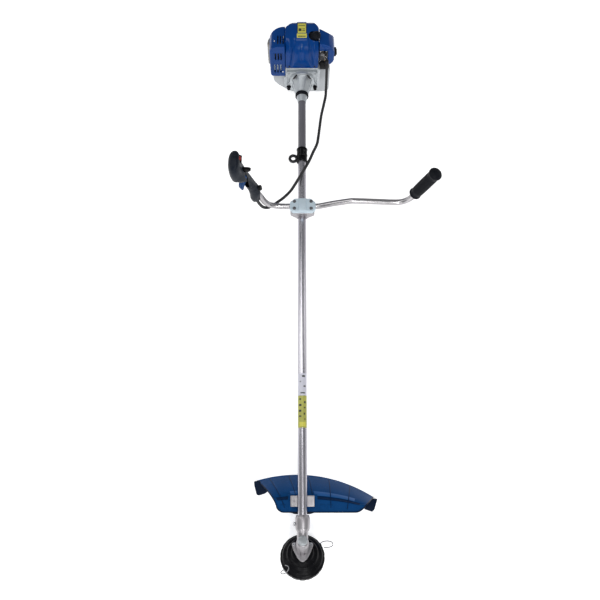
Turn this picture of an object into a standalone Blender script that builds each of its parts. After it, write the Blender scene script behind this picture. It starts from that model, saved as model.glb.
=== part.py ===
"""Brush cutter lying ready for use: X across the handlebar, +Y along the shaft to the engine, +Z up.

Every sub-part is modelled in the shaft's own frame (origin on the shaft's axis, 0.770 m ahead of the
shaft's rubber collar) and parented to one empty, which stands the machine on the floor.
"""
import math

import bmesh
import bpy
from mathutils import Matrix, Vector

# ---- driving dimensions, metres ----
AXIS_X = -0.0995           # where the shaft's axis stands in the part's frame
AXIS_Y = -0.1321
AXIS_HEIGHT = 0.125

GAP = 0.0003               # between touching pieces
TUBE_R = 0.013
TUBE_WALL = 0.0016
TUBE_FRONT = -0.6625
TUBE_REAR = 0.812
ROD_R = 0.004
BUSH_LENGTH = 0.018
BUSH_PLACE = 0.0600

GEAR_CENTRE = Vector((0, -0.6985, 0))
HEAD_AXIS = Vector((0, 0.5, math.sqrt(0.75)))   # output shaft, 60 degrees to the drive shaft
PINION_TEETH = 14
GEAR_TEETH = 19
HEAD_R = 0.062

GUARD_ARC_CENTRE = (-0.0160, -0.9555)
GUARD_ARC_R = 0.4414
GUARD_LEFT_X = -0.136
GUARD_RIGHT_X = 0.212
GUARD_FRONT_Y = -0.616
GUARD_FRONT_X = (-0.063, 0.147)
GUARD_SHEET = 0.0035
GUARD_CLAMP_Y = -0.587

HARNESS_Y = 0.522
EYE = Vector((-0.0300, 0.5105, 0))
BRACKET_Y = 0.308
BRACKET_LENGTH = 0.046
BAR_Y = 0.311
BAR_Z = 0.031
BAR_R = 0.009
BAR_WALL = 0.0015

CONE_FRONT = 0.777
FAN_FRONT = 0.846
CASE_FRONT = 0.8945
CASE_REAR = 0.9600
CYLINDER_Y = 0.927
BORE_R = 0.0200
PIN_THROW = 0.016
STARTER_REAR = 1.018

SIDES = 20                 # facets round a large turned piece
SMALL_SIDES = 12

COLOURS = {                # linear base colour, metallic, roughness
    "aluminium": ((0.62, 0.64, 0.66), 1.0, 0.32),
    "casting": ((0.52, 0.56, 0.58), 0.9, 0.5),
    "steel": ((0.45, 0.45, 0.46), 1.0, 0.35),
    "blue": ((0.006, 0.055, 0.27), 0.0, 0.3),
    "guard_blue": ((0.012, 0.06, 0.21), 0.0, 0.4),
    "black": ((0.012, 0.012, 0.014), 0.0, 0.5),
    "rubber": ((0.016, 0.016, 0.018), 0.0, 0.8),
    "tank": ((0.45, 0.47, 0.48), 0.0, 0.45),
    "foam": ((0.08, 0.08, 0.085), 0.0, 0.95),
    "bronze": ((0.45, 0.30, 0.14), 1.0, 0.45),
    "red": ((0.35, 0.05, 0.03), 0.0, 0.4),
    "line": ((0.42, 0.42, 0.43), 0.0, 0.4),
    "white": ((0.8, 0.8, 0.78), 0.0, 0.3),
}


# ---- modelling helpers ----
def clear_scene():
    for old in list(bpy.data.objects):
        bpy.data.objects.remove(old)


def finish_of(node, kind):
    colour, metallic, roughness = COLOURS[kind]
    material = bpy.data.materials.new(node)
    material.use_nodes = True
    shader = material.node_tree.nodes["Principled BSDF"]
    shader.inputs["Base Color"].default_value = (*colour, 1)
    shader.inputs["Metallic"].default_value = metallic
    shader.inputs["Roughness"].default_value = roughness
    return material


def turn_to(axis):
    """The rotation that takes local +Z to the axis."""
    return Vector(axis).to_track_quat("Z", "Y").to_matrix().to_4x4()


def make(node, bm, kind, at=(0, 0, 0), axis=None, turn=0.0):
    """An object of this mesh, its origin at a point and its local +Z along an axis."""
    bmesh.ops.recalc_face_normals(bm, faces=bm.faces)
    mesh = bpy.data.meshes.new(node)
    bm.to_mesh(mesh)
    bm.free()
    mesh.shade_smooth()
    mesh.set_sharp_from_angle(angle=math.radians(35))
    obj = bpy.data.objects.new(node, mesh)
    bpy.context.scene.collection.objects.link(obj)
    rotation = turn_to(axis) if axis is not None else Matrix.Identity(4)
    obj.matrix_world = Matrix.Translation(at) @ rotation @ Matrix.Rotation(turn, 4, "Z")
    obj.parent = machine
    if kind:
        mesh.materials.append(finish_of(node, kind))
    else:
        obj.hide_render = True
        obj.display_type = "WIRE"
    return obj


def combine(obj, others, operation):
    for other in others:
        modifier = obj.modifiers.new(operation.lower(), "BOOLEAN")
        modifier.operation = operation
        modifier.object = other
        modifier.solver = "EXACT"


def cut(obj, *cutters):
    combine(obj, cutters, "DIFFERENCE")


def join(obj, *others):
    combine(obj, others, "UNION")


def soften(obj, width, segments=1):
    modifier = obj.modifiers.new("edges", "BEVEL")
    modifier.width = width
    modifier.segments = segments
    modifier.limit_method = "ANGLE"
    modifier.angle_limit = math.radians(40)


def turned(profile, sides=SIDES):
    """A turned solid about Z from the closed profile of (radius, height) points."""
    bm = bmesh.new()
    loops = []
    for radius, height in profile:
        if radius == 0:
            loops.append([bm.verts.new((0, 0, height))])
            continue
        angles = [2 * math.pi * k / sides for k in range(sides)]
        loops.append([bm.verts.new((radius * math.cos(a), radius * math.sin(a), height)) for a in angles])
    for low, high in zip(loops, loops[1:] + loops[:1]):
        if len(low) == len(high) == 1:
            continue
        for k in range(sides):
            corners = [low[k % len(low)], low[(k + 1) % len(low)]]
            corners += [high[(k + 1) % len(high)], high[k % len(high)]]
            bm.faces.new(list(dict.fromkeys(corners)))
    return bm


def cylinder(radius, low, high, sides=SMALL_SIDES):
    return turned([(0, low), (radius, low), (radius, high), (0, high)], sides)


def bore(radius, low, high, sides=SMALL_SIDES):
    """A cutter whose flats clear a round piece of this radius."""
    return cylinder((radius + GAP) / math.cos(math.pi / sides), low, high, sides)


def ring(outer, inner, low, high, sides=SIDES):
    return turned([(outer, low), (outer, high), (inner, high), (inner, low)], sides)


def prism(outline, low, high):
    """An outline in local X and Y, extruded along local Z."""
    bm = bmesh.new()
    base = [bm.verts.new((x, y, low)) for x, y in outline]
    top = [bm.verts.new((x, y, high)) for x, y in outline]
    bm.faces.new(base[::-1])
    bm.faces.new(top)
    for k in range(len(outline)):
        after = (k + 1) % len(outline)
        bm.faces.new([base[k], base[after], top[after], top[k]])
    return bm


def block(low, high):
    (x0, y0, z0), (x1, y1, z1) = low, high
    return prism([(x0, y0), (x1, y0), (x1, y1), (x0, y1)], z0, z1)


def arc(centre, radius, start, end, steps):
    """Points on an arc, angles in degrees."""
    angles = [math.radians(start + (end - start) * k / steps) for k in range(steps + 1)]
    return [(centre[0] + radius * math.cos(a), centre[1] + radius * math.sin(a)) for a in angles]


def rounded_outline(low, high, radii, steps=3):
    """A rectangle with a radius for each corner: low left, low right, high right, high left."""
    (x0, y0), (x1, y1) = low, high
    corners = [(x0, y0, 1, 1, 180), (x1, y0, -1, 1, 270), (x1, y1, -1, -1, 0), (x0, y1, 1, -1, 90)]
    points = []
    for (x, y, sx, sy, start), radius in zip(corners, radii):
        centre = (x + sx * radius, y + sy * radius)
        points += arc(centre, radius, start, start + 90, steps)
    return points


def smooth_path(points, per_span):
    """Points on the Catmull-Rom curve through the given ones."""
    points = [Vector(p) for p in points]
    ends = [2 * points[0] - points[1]] + points + [2 * points[-1] - points[-2]]
    path = []
    for k in range(len(points) - 1):
        a, b, c, d = ends[k : k + 4]
        for step in range(per_span):
            t = step / per_span
            bend = (2 * a - 5 * b + 4 * c - d) * t * t + (3 * b - a - 3 * c + d) * t**3
            path.append((2 * b + (c - a) * t + bend) / 2)
    return path + [points[-1]]


def frames_along(path, side):
    """For each point of a path, two unit vectors across it; the first stays close to side."""
    frames = []
    for k, point in enumerate(path):
        along = (path[min(k + 1, len(path) - 1)] - path[max(k - 1, 0)]).normalized()
        across = along.cross(Vector(side)).normalized()
        frames.append((point, across.cross(along).normalized(), across))
    return frames


def skinned(loops, closed_ends=True):
    """A solid through loops of equal length; without closed ends the last loop meets the first."""
    bm = bmesh.new()
    rows = [[bm.verts.new(p) for p in loop] for loop in loops]
    count = len(rows[0])
    pairs = list(zip(rows, rows[1:]))
    if not closed_ends:
        pairs.append((rows[-1], rows[0]))
    for low, high in pairs:
        for k in range(count):
            after = (k + 1) % count
            bm.faces.new([low[k], low[after], high[after], high[k]])
    if closed_ends:
        bm.faces.new(rows[0][::-1])
        bm.faces.new(rows[-1])
    return bm


def circles(path, radius, sides, side=(0, 1, 0)):
    angles = [2 * math.pi * k / sides for k in range(sides)]
    frames = frames_along(path, side)
    return [[p + radius * (math.cos(a) * u + math.sin(a) * v) for a in angles] for p, u, v in frames]


def bent_tube(path, radius, wall, sides):
    return skinned(circles(path, radius, sides) + circles(path, radius - wall, sides)[::-1], False)


def cable(node, points, radius, kind, per_span=5, resolution=2):
    """A cord as a curve object with a round bevel and filled caps."""
    curve = bpy.data.curves.new(node, "CURVE")
    curve.dimensions = "3D"
    curve.bevel_depth = radius
    curve.bevel_resolution = resolution
    curve.use_fill_caps = True
    path = smooth_path(points, per_span)
    spline = curve.splines.new("POLY")
    spline.points.add(len(path) - 1)
    for point, place in zip(spline.points, path):
        point.co = (*place, 1)
    curve.materials.append(finish_of(node, kind))
    obj = bpy.data.objects.new(node, curve)
    bpy.context.scene.collection.objects.link(obj)
    obj.parent = machine
    return obj


ALONG = (0, 1, 0)
UP = (0, 0, 1)
RIGHT = (1, 0, 0)


def facing_y(bm):
    """Turns a solid drawn in X and Y so that its outline lies in X and Z and its length along Y."""
    for vert in bm.verts:
        vert.co = (vert.co.x, vert.co.z, vert.co.y)
    return bm


def facing_x(bm):
    """Turns a solid drawn in X and Y so that its outline lies in Y and Z and its length along X."""
    for vert in bm.verts:
        vert.co = (vert.co.z, vert.co.x, vert.co.y)
    return bm


# ---- shaft ----
def build_shaft():
    make("shaft_tube", ring(TUBE_R, TUBE_R - TUBE_WALL, TUBE_FRONT, TUBE_REAR), "aluminium", axis=ALONG)
    make("drive_shaft", cylinder(ROD_R, TUBE_FRONT - 0.0180, 0.8415), "steel", axis=ALONG)
    bush = ring(TUBE_R - TUBE_WALL - GAP, ROD_R + GAP, BUSH_PLACE, BUSH_PLACE + BUSH_LENGTH, SMALL_SIDES)
    make("shaft_bush", bush, "bronze", axis=ALONG)
    inner = TUBE_R + GAP
    collar = [(inner, 0.741), (0.0150, 0.741), (0.0195, 0.7645), (0.0230, 0.7665), (0.0230, 0.7755)]
    collar += [(0.0215, 0.7765), (inner, 0.7765)]
    make("shaft_collar", turned(collar), "rubber", axis=ALONG)


def build_harness_clamp():
    centre = (0, HARNESS_Y, 0)
    clamp = make("harness_clamp", ring(0.0175, TUBE_R + GAP, -0.025, 0.025), "black", centre, ALONG)
    eye = make("eye_blank", ring(0.0165, 0.0070, -0.0035, 0.0035), None, EYE)
    lug = make("lug_blank", block((0.0, -0.012, 0.013), (0.011, 0.012, 0.027)), None, (-0.0055, HARNESS_Y, 0))
    way = make("clamp_bore", bore(TUBE_R, -0.04, 0.04, SIDES), None, centre, ALONG)
    join(clamp, eye, lug)
    cut(clamp, way)


# ---- handlebar ----
def build_bracket():
    outline = [(-0.0165, -0.021), (0.0165, -0.021), (0.0225, -0.008), (0.0225, -GAP), (-0.0225, -GAP)]
    outline.append((-0.0225, -0.008))
    front, rear = BRACKET_Y - BRACKET_LENGTH / 2, BRACKET_Y + BRACKET_LENGTH / 2
    base = make("bracket_base", facing_y(prism(outline, front + 0.006, rear)), "casting")
    middle_outline = [(-0.0225, GAP), (0.0225, GAP), (0.0400, 0.016), (0.0400, BAR_Z - GAP)]
    middle_outline += [(-0.0380, BAR_Z - GAP), (-0.0380, 0.016)]
    middle = make("bracket_middle", facing_y(prism(middle_outline, front, rear)), "casting")
    x0, x1, chamfer = -0.0395, 0.0435, 0.009
    top = [(x0 + chamfer, front), (x1 - chamfer, front), (x1, front + chamfer), (x1, rear - chamfer)]
    top += [(x1 - chamfer, rear), (x0 + chamfer, rear), (x0, rear - chamfer), (x0, front + chamfer)]
    cap = make("bracket_cap", prism(top, BAR_Z + GAP, 0.0475), "casting")
    band = make("cap_band", block((-0.011, front + 0.003, 0.040), (0.011, rear - 0.003, 0.0510)), None)
    join(cap, band)
    tube_bore = make("bracket_tube_bore", bore(TUBE_R, 0.25, 0.37, SIDES), None, axis=ALONG)
    bar_bore = make("bracket_bar_bore", bore(BAR_R, -0.06, 0.06), None, (0.002, BAR_Y, BAR_Z), RIGHT)
    cut(base, tube_bore)
    cut(middle, tube_bore, bar_bore)
    cut(cap, bar_bore)
    for piece in (base, middle, cap):
        soften(piece, 0.0012)


# Routes of the two bars, (x, z), outwards from the bracket
RIGHT_BAR = [(0.004, 0.031), (0.022, 0.031), (0.041, 0.031), (0.058, 0.0330), (0.095, 0.0475)]
RIGHT_BAR += [(0.150, 0.0650), (0.168, 0.0668), (0.230, 0.0625), (0.297, 0.0580), (0.323, 0.0640)]
RIGHT_BAR += [(0.341, 0.0850), (0.351, 0.1160), (0.369, 0.1700), (0.385, 0.2180)]
LEFT_BAR = [(-0.004, 0.031), (-0.022, 0.031), (-0.041, 0.031), (-0.066, 0.0316), (-0.088, 0.0350)]
LEFT_BAR += [(-0.107, 0.0440), (-0.1200, 0.0640), (-0.1285, 0.0900), (-0.1395, 0.1180), (-0.1500, 0.1560)]
GRIP_START = Vector((0.3492, BAR_Y, 0.1105))
GRIP_WAY = Vector((0.316, 0, 0.949)).normalized()


def build_bars():
    for node, route in (("right_bar", RIGHT_BAR), ("left_bar", LEFT_BAR)):
        path = smooth_path([(x, BAR_Y, z) for x, z in route], 2)
        make(node, bent_tube(path, BAR_R, BAR_WALL, 10), "aluminium")
    profile = [(0.0112, 0.0), (0.0185, 0.0), (0.0195, 0.0045), (0.0170, 0.0095), (0.0182, 0.0200)]
    profile += [(0.0186, 0.0620), (0.0180, 0.1050), (0.0178, 0.1120), (0.0205, 0.1170), (0.0205, 0.1215)]
    profile += [(0.0160, 0.1270), (0.0080, 0.1300), (0, 0.1310), (0, 0.1250), (0.0112, 0.1250)]
    make("right_grip", turned(profile), "rubber", GRIP_START, GRIP_WAY)


# Throttle handle from foot to top: centre (x, y, z), half width across the bar, half depth along the shaft
HANDLE = [(-0.1440, 0.3085, 0.0930, 0.0150, 0.0155), (-0.1460, 0.3090, 0.1080, 0.0165, 0.0175)]
HANDLE += [(-0.1450, 0.3100, 0.1280, 0.0175, 0.0180), (-0.1490, 0.3110, 0.1480, 0.0160, 0.0170)]
HANDLE += [(-0.1560, 0.3110, 0.1700, 0.0150, 0.0165), (-0.1640, 0.3100, 0.1950, 0.0155, 0.0170)]
HANDLE += [(-0.1730, 0.3050, 0.2200, 0.0180, 0.0210), (-0.1815, 0.3000, 0.2430, 0.0230, 0.0300)]
HANDLE += [(-0.1865, 0.3000, 0.2650, 0.0218, 0.0330), (-0.1875, 0.3010, 0.2850, 0.0212, 0.0345)]
HANDLE += [(-0.1885, 0.3025, 0.3000, 0.0200, 0.0330), (-0.1885, 0.3035, 0.3120, 0.0155, 0.0260)]
HANDLE += [(-0.1885, 0.3040, 0.3180, 0.0030, 0.0034)]
HANDLE_WALL = 0.0025
HANDLE_ACROSS = Vector((0.966, 0, 0.259))       # across the handle, in the plane of the handlebar
TRIGGER_PIVOT = Vector((-0.1665, 0.2950, 0.2400))
TRIGGER_TURN = math.radians(45)                  # the trigger faces outwards and forwards
LOCK_PIVOT = Vector((-0.1665, 0.3040, 0.2600))
SWITCH_AT = Vector((-0.1750, 0.3130, 0.3025))
SWITCH_FACING = Vector((0.6, 0, 0.8))


def handle_half(side):
    """Half of the throttle handle: side -1 faces the cutting head, +1 the engine."""
    loops = []
    outer = [math.radians(a) for a in range(0, 181, 20)]
    for x, y, z, width, depth in HANDLE:
        centre = Vector((x, y, z))
        loop = []
        for shrink, angles in ((0.0, outer), (HANDLE_WALL, outer[::-1])):
            for a in angles:
                flat = HANDLE_ACROSS * (math.cos(a) * (width - shrink))
                loop.append(centre + flat + Vector((0, side * (GAP / 2 + math.sin(a) * (depth - shrink)), 0)))
        loops.append(loop)
    return skinned(loops)


def build_throttle_handle():
    front = make("throttle_shell_front", handle_half(-1), "black")
    rear = make("throttle_shell_rear", handle_half(1), "black")
    bar_way = (Vector((-0.1500, 0, 0.1560)) - Vector((-0.1285, 0, 0.0900))).normalized()
    bar_bore = make("handle_bar_bore", bore(BAR_R, -0.050, 0.0500), None, (-0.1394, BAR_Y, 0.1225), bar_way)
    slot = block((-0.0450, -0.0080, -0.0650), (0.0070, 0.0080, 0.0085))
    trigger_slot = make("trigger_slot", slot, None, TRIGGER_PIVOT, None, TRIGGER_TURN)
    slot = block((-0.0120, -0.0056, -0.0120), (0.0300, 0.0056, 0.0085))
    lock_slot = make("lock_slot", slot, None, LOCK_PIVOT)
    seat = block((-0.0095, -0.0062, -0.0080), (0.0095, 0.0062, 0.0150))
    seat = make("switch_seat", seat, None, SWITCH_AT, SWITCH_FACING)
    for shell in (front, rear):
        cut(shell, bar_bore, trigger_slot, lock_slot, seat)
    blade = [(0.002, 0.005), (-0.004, 0.006), (-0.010, -0.002), (-0.0180, -0.018), (-0.0220, -0.034)]
    blade += [(-0.0215, -0.047), (-0.0160, -0.0500), (-0.0115, -0.040), (-0.003, -0.022), (0.0035, -0.010)]
    trigger = facing_y(prism(blade, -0.0068, 0.0068))
    make("trigger", trigger, "blue", TRIGGER_PIVOT, None, TRIGGER_TURN)
    lever = [(-0.003, -0.006), (0.004, -0.007), (0.0135, -0.009), (0.0165, -0.002), (0.0120, 0.0065)]
    lever += [(0.003, 0.0060), (-0.003, 0.0055)]
    make("lockout_lever", facing_y(prism(lever, -0.0048, 0.0048)), "black", LOCK_PIVOT)
    button = block((-0.0055, -0.0050, -0.0035), (0.0055, 0.0050, 0.0025))
    make("stop_switch", button, "red", SWITCH_AT, SWITCH_FACING)


# Sleeve of the throttle cable, from beside the carburettor to the throttle handle's foot
CABLE = [(0.0862, 0.8580, 0.0760), (0.0868, 0.8500, 0.0640), (0.0871, 0.8378, 0.0500)]
CABLE += [(0.0868, 0.8175, 0.0260), (0.0857, 0.7893, 0.0080), (0.0835, 0.7640, 0.0020)]
CABLE += [(0.0751, 0.7220, 0.0010), (0.0668, 0.6790, 0.0020), (0.0573, 0.6010, 0.0070)]
CABLE += [(0.0512, 0.5611, 0.0120), (0.0371, 0.5231, 0.0180), (0.0254, 0.4914, 0.0215)]
CABLE += [(0.0122, 0.4629, 0.0235), (-0.0102, 0.4221, 0.0215), (-0.0238, 0.4001, 0.0165)]
CABLE += [(-0.0384, 0.3783, 0.0125), (-0.0597, 0.3552, 0.0110), (-0.0826, 0.3365, 0.0105)]
CABLE += [(-0.0975, 0.3245, 0.0115), (-0.1115, 0.3152, 0.0150), (-0.1256, 0.3091, 0.0290)]
CABLE += [(-0.1344, 0.3070, 0.0500), (-0.1395, 0.3045, 0.0720), (-0.1425, 0.3020, 0.0925)]
CABLE_R = 0.0050


def build_cable():
    cable("throttle_cable", CABLE, CABLE_R, "rubber", per_span=3, resolution=2)


# ---- guard ----
def guard_height(v):
    """Height of the guard's top face: a flat seat, a shallow step, then a skirt down to the floor."""
    seat = -0.0215
    if v < 0.34:
        return seat
    if v < 0.42:
        return seat - 0.006 * (v - 0.34) / 0.08
    fall = (v - 0.42) / 0.58
    return seat - 0.006 - (AXIS_HEIGHT - 0.0275) * (0.25 * fall + 0.75 * fall**1.8)


def build_guard():
    columns = 24
    rows = [0, 0.17, 0.34, 0.42, 0.55, 0.68, 0.80, 0.90, 1.0]
    cx, cy = GUARD_ARC_CENTRE
    bm = bmesh.new()
    layers = []
    for sheet in (0.0, GUARD_SHEET):
        grid = []
        for k in range(columns + 1):
            u = k / columns
            rim_x = GUARD_LEFT_X + (GUARD_RIGHT_X - GUARD_LEFT_X) * u
            rim = Vector((rim_x, cy + math.sqrt(GUARD_ARC_R**2 - (rim_x - cx) ** 2)))
            front = Vector((GUARD_FRONT_X[0] + (GUARD_FRONT_X[1] - GUARD_FRONT_X[0]) * u, GUARD_FRONT_Y))
            line = []
            for v in rows:
                place = front.lerp(rim, v)
                place.x += 4 * v * (1 - v) * (0.012 * (1 - u) ** 4 - 0.006 * u**4)   # hollow side edges
                inward = (front - rim).normalized() * sheet * min(1, max(0, (v - 0.42) / 0.3))
                drop = sheet if v < 0.9 else sheet * (1 - v) / 0.1
                line.append(bm.verts.new((*(place + inward), guard_height(v) - drop)))
            grid.append(line)
        layers.append(grid)
    top, under = layers
    for k in range(columns):
        for j in range(len(rows) - 1):
            bm.faces.new([top[k][j], top[k + 1][j], top[k + 1][j + 1], top[k][j + 1]])
            bm.faces.new([under[k][j], under[k][j + 1], under[k + 1][j + 1], under[k + 1][j]])
        for j in (0, -1):
            bm.faces.new([top[k][j], under[k][j], under[k + 1][j], top[k + 1][j]])
    for k in (0, -1):
        for j in range(len(rows) - 1):
            bm.faces.new([top[k][j], top[k][j + 1], under[k][j + 1], under[k][j]])
    make("guard", bm, "guard_blue")
    outline = [(-0.0335, -0.0195), (0.0335, -0.0195), (0.0335, -0.0060), (0.0205, -0.0060)]
    outline += arc((0, 0), 0.0175, 10, 170, 8) + [(-0.0205, -0.0060), (-0.0335, -0.0060)]
    clamp = facing_y(prism(outline, GUARD_CLAMP_Y - 0.0145, GUARD_CLAMP_Y + 0.0145))
    clamp = make("guard_clamp", clamp, "casting")
    cut(clamp, make("guard_clamp_bore", bore(TUBE_R, -0.64, -0.53, SIDES), None, axis=ALONG))


# ---- gear head ----
TOOTH_DEPTH = 0.0026
# A tooth's corners: share of the pitch, share of the depth
TOOTH = [(-0.31, -0.64), (-0.13, 0.36), (0.13, 0.36), (0.31, -0.64)]


def gear(teeth, cone_angle, inner, outer, hole, turn):
    """A bevel gear whose pitch cone has its apex at the origin and opens along +Z."""
    bm = bmesh.new()
    pitch = 2 * math.pi / teeth
    loops = []
    for distance in (inner, outer):
        loop = []
        for k in range(teeth):
            for part_of_pitch, raised in TOOTH:
                a = turn + (k + part_of_pitch) * pitch
                lean = raised * TOOTH_DEPTH * distance / outer
                radius = distance * math.sin(cone_angle) + lean * math.cos(cone_angle)
                height = distance * math.cos(cone_angle) - lean * math.sin(cone_angle)
                loop.append(bm.verts.new((radius * math.cos(a), radius * math.sin(a), height)))
        loops.append(loop)
    near, far = loops
    count = len(near)
    angles = [turn + 2 * math.pi * (k - 1.5) / count for k in range(count)]
    near_z, far_z = inner * math.cos(cone_angle) + 0.0002, outer * math.cos(cone_angle) + 0.0022
    rows = [near, far]
    for z in (far_z, near_z):
        rows.append([bm.verts.new((hole * math.cos(a), hole * math.sin(a), z)) for a in angles])
    for low, high in zip(rows, rows[1:] + rows[:1]):
        for k in range(count):
            after = (k + 1) % count
            bm.faces.new([low[k], low[after], high[after], high[k]])
    return bm


PINION_CONE = math.atan(math.sin(math.radians(60)) / (GEAR_TEETH / PINION_TEETH + math.cos(math.radians(60))))
GEAR_CONE = math.radians(60) - PINION_CONE
CONE_OUTER = 0.0195
CONE_INNER = 0.0140
OUTPUT_R = 0.005


def build_gear_head():
    socket = [(0, -0.0030), (0.0150, -0.0030), (0.0150, 0.0330), (0.0192, 0.0400), (0.0200, 0.0700)]
    socket.append((0.0175, 0.0760))
    socket += [(0, 0.0760)]
    case = make("gearcase", turned(socket), "casting", GEAR_CENTRE, ALONG)
    body = [(0, -0.0270), (0.0150, -0.0270), (0.0165, -0.0150), (0.0165, 0.0180), (0.0150, 0.0230)]
    body.append((0.0135, 0.0235))
    body += [(0.0135, 0.0300), (0.0115, 0.0315), (0, 0.0315)]
    head = make("gearcase_head", turned(body), None, GEAR_CENTRE, HEAD_AXIS)
    plate = [(-0.0040, 0.0325), (0.0040, 0.0325), (0.0140, 0.0230), (0.0290, -0.0110), (0.0290, -0.0165)]
    plate += [(0.0250, -0.0190), (-0.0250, -0.0190), (-0.0290, -0.0165), (-0.0290, -0.0110)]
    plate.append((-0.0140, 0.0230))
    foot = make("gearcase_plate", prism(plate, -0.0270, -0.0220), None, GEAR_CENTRE, HEAD_AXIS)
    lug = make("gearcase_lug", block((-0.0260, 0.0460, -0.0060), (0, 0.0600, 0.0060)), None, GEAR_CENTRE)
    join(case, head, foot, lug)
    tube_bore = make("gearcase_tube_bore", bore(TUBE_R, 0.0355, 0.09, SIDES), None, GEAR_CENTRE, ALONG)
    pinion_room = make("pinion_room", cylinder(0.0118, 0.0, 0.040, SIDES), None, GEAR_CENTRE, ALONG)
    room = [(0, -0.0300), (0.0118, -0.0300), (0.0118, -0.0150), (0.0137, -0.0140), (0.0137, 0.0205)]
    room.append((0.0092, 0.0210))
    room += [(0.0092, 0.0275), (0, 0.0275)]
    cut(case, tube_bore, pinion_room, make("gear_room", turned(room), None, GEAR_CENTRE, HEAD_AXIS))
    bearing_ring = ring(0.0115, OUTPUT_R + GAP, -0.0255, -0.0175)
    make("output_bearing", bearing_ring, "steel", GEAR_CENTRE, HEAD_AXIS)
    pinion = gear(PINION_TEETH, PINION_CONE, CONE_INNER, CONE_OUTER, ROD_R + GAP, math.pi / 2)
    make("pinion", pinion, "steel", GEAR_CENTRE, ALONG)
    wheel = gear(GEAR_TEETH, GEAR_CONE, CONE_INNER, CONE_OUTER, OUTPUT_R + GAP, math.pi / 2)
    make("output_gear", wheel, "steel", GEAR_CENTRE, HEAD_AXIS)
    shaft = [(0, -0.0660), (0.0036, -0.0660), (0.0036, -0.0350), (OUTPUT_R, -0.0350), (OUTPUT_R, 0.0260)]
    shaft.append((0, 0.0260))
    make("output_shaft", turned(shaft, SMALL_SIDES), "steel", GEAR_CENTRE, HEAD_AXIS)


# ---- line head ----
def build_line_head():
    outer = [(0.0190, -0.0290), (0.0225, -0.0310), (0.0225, -0.0370), (0.0300, -0.0385), (0.0320, -0.0440)]
    outer += [(0.0420, -0.0465), (0.0450, -0.0530), (0.0540, -0.0560), (0.0570, -0.0625), (HEAD_R, -0.0650)]
    outer += [(HEAD_R, -0.0740), (0.0590, -0.0760), (0.0560, -0.0840)]
    inner = [(0.0535, -0.0840), (0.0535, -0.0660), (0.0500, -0.0610), (0.0400, -0.0560), (0.0075, -0.0540)]
    inner += [(0.0075, -0.0460), (OUTPUT_R + GAP, -0.0460), (OUTPUT_R + GAP, -0.0290)]
    make("line_head", turned(outer + inner, 24), "black", GEAR_CENTRE, HEAD_AXIS)
    spool = [(0.0500, -0.0840), (0.0500, -0.0815), (0.0240, -0.0815), (0.0240, -0.0715), (0.0490, -0.0715)]
    spool += [(0.0490, -0.0690), (0.0110, -0.0690), (0.0110, -0.0790), (0.0130, -0.0840)]
    make("line_spool", turned(spool), "black", GEAR_CENTRE, HEAD_AXIS)
    knob = [(0, -0.1000), (0.0220, -0.0990), (0.0300, -0.0930), (0.0330, -0.0843), (0.0125, -0.0843)]
    knob += [(0.0105, -0.0785), (0.0105, -0.0695), (0.0060, -0.0695), (0.0060, -0.0790), (0, -0.0790)]
    make("bump_knob", turned(knob), "black", GEAR_CENTRE, HEAD_AXIS)
    make_line_end("line_right", LINE_RIGHT)
    make_line_end("line_left", LINE_LEFT)


LINE_R = 0.0013
# Trimmer line from its eyelet to its free end: along X, rearwards in the head's plane, up the output axis
LINE_RIGHT = [(0.0507, 0.0380, -0.0690), (0.0552, 0.0411, -0.0690), (0.0626, 0.0438, -0.0690)]
LINE_RIGHT += [(0.0734, 0.0444, -0.0690), (0.0827, 0.0415, -0.0690), (0.0863, 0.0350, -0.0690)]
LINE_RIGHT += [(0.0821, 0.0290, -0.0690), (0.0747, 0.0267, -0.0690), (0.0690, 0.0262, -0.0690)]
LINE_RIGHT += [(0.0642, 0.0262, -0.0690), (0.0598, 0.0268, -0.0690)]
LINE_LEFT = [(-0.0524, -0.0356, -0.0690), (-0.0566, -0.0388, -0.0688), (-0.0590, -0.0435, -0.0668)]
LINE_LEFT += [(-0.0565, -0.0482, -0.0630), (-0.0505, -0.0500, -0.0590), (-0.0435, -0.0480, -0.0550)]
LINE_LEFT += [(-0.0385, -0.0430, -0.0510), (-0.0375, -0.0378, -0.0485), (-0.0415, -0.0338, -0.0470)]
LINE_LEFT += [(-0.0475, -0.0330, -0.0460)]


def make_line_end(node, route):
    rearwards = Vector((0, HEAD_AXIS.z, -HEAD_AXIS.y))
    points = [GEAR_CENTRE + Vector((x, 0, 0)) + rearwards * b + HEAD_AXIS * t for x, b, t in route]
    cable(node, points, LINE_R, "line", per_span=3, resolution=2)


# ---- clutch and crank train ----
FLANGE_R = 0.0440
BOLT_EAR = (0.0480, 0.0330)   # where the clutch housing's four bolts stand, across and up


def flange_outline():
    """A disc's waist with an ear round each of the four bolts."""
    points = []
    for quarter in range(4):
        x = BOLT_EAR[0] * (1 if quarter in (0, 3) else -1)
        z = BOLT_EAR[1] * (1 if quarter in (0, 1) else -1)
        way = math.degrees(math.atan2(z, x))
        points += arc((x, z), 0.0075, way - 90, way + 90, 6)
        middle = math.radians(90 * (quarter + 1) if quarter % 2 == 0 else 180 * (quarter + 1) / 2)
        points.append((0.0400 * math.cos(middle), 0.0400 * math.sin(middle)))
    return points


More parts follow.
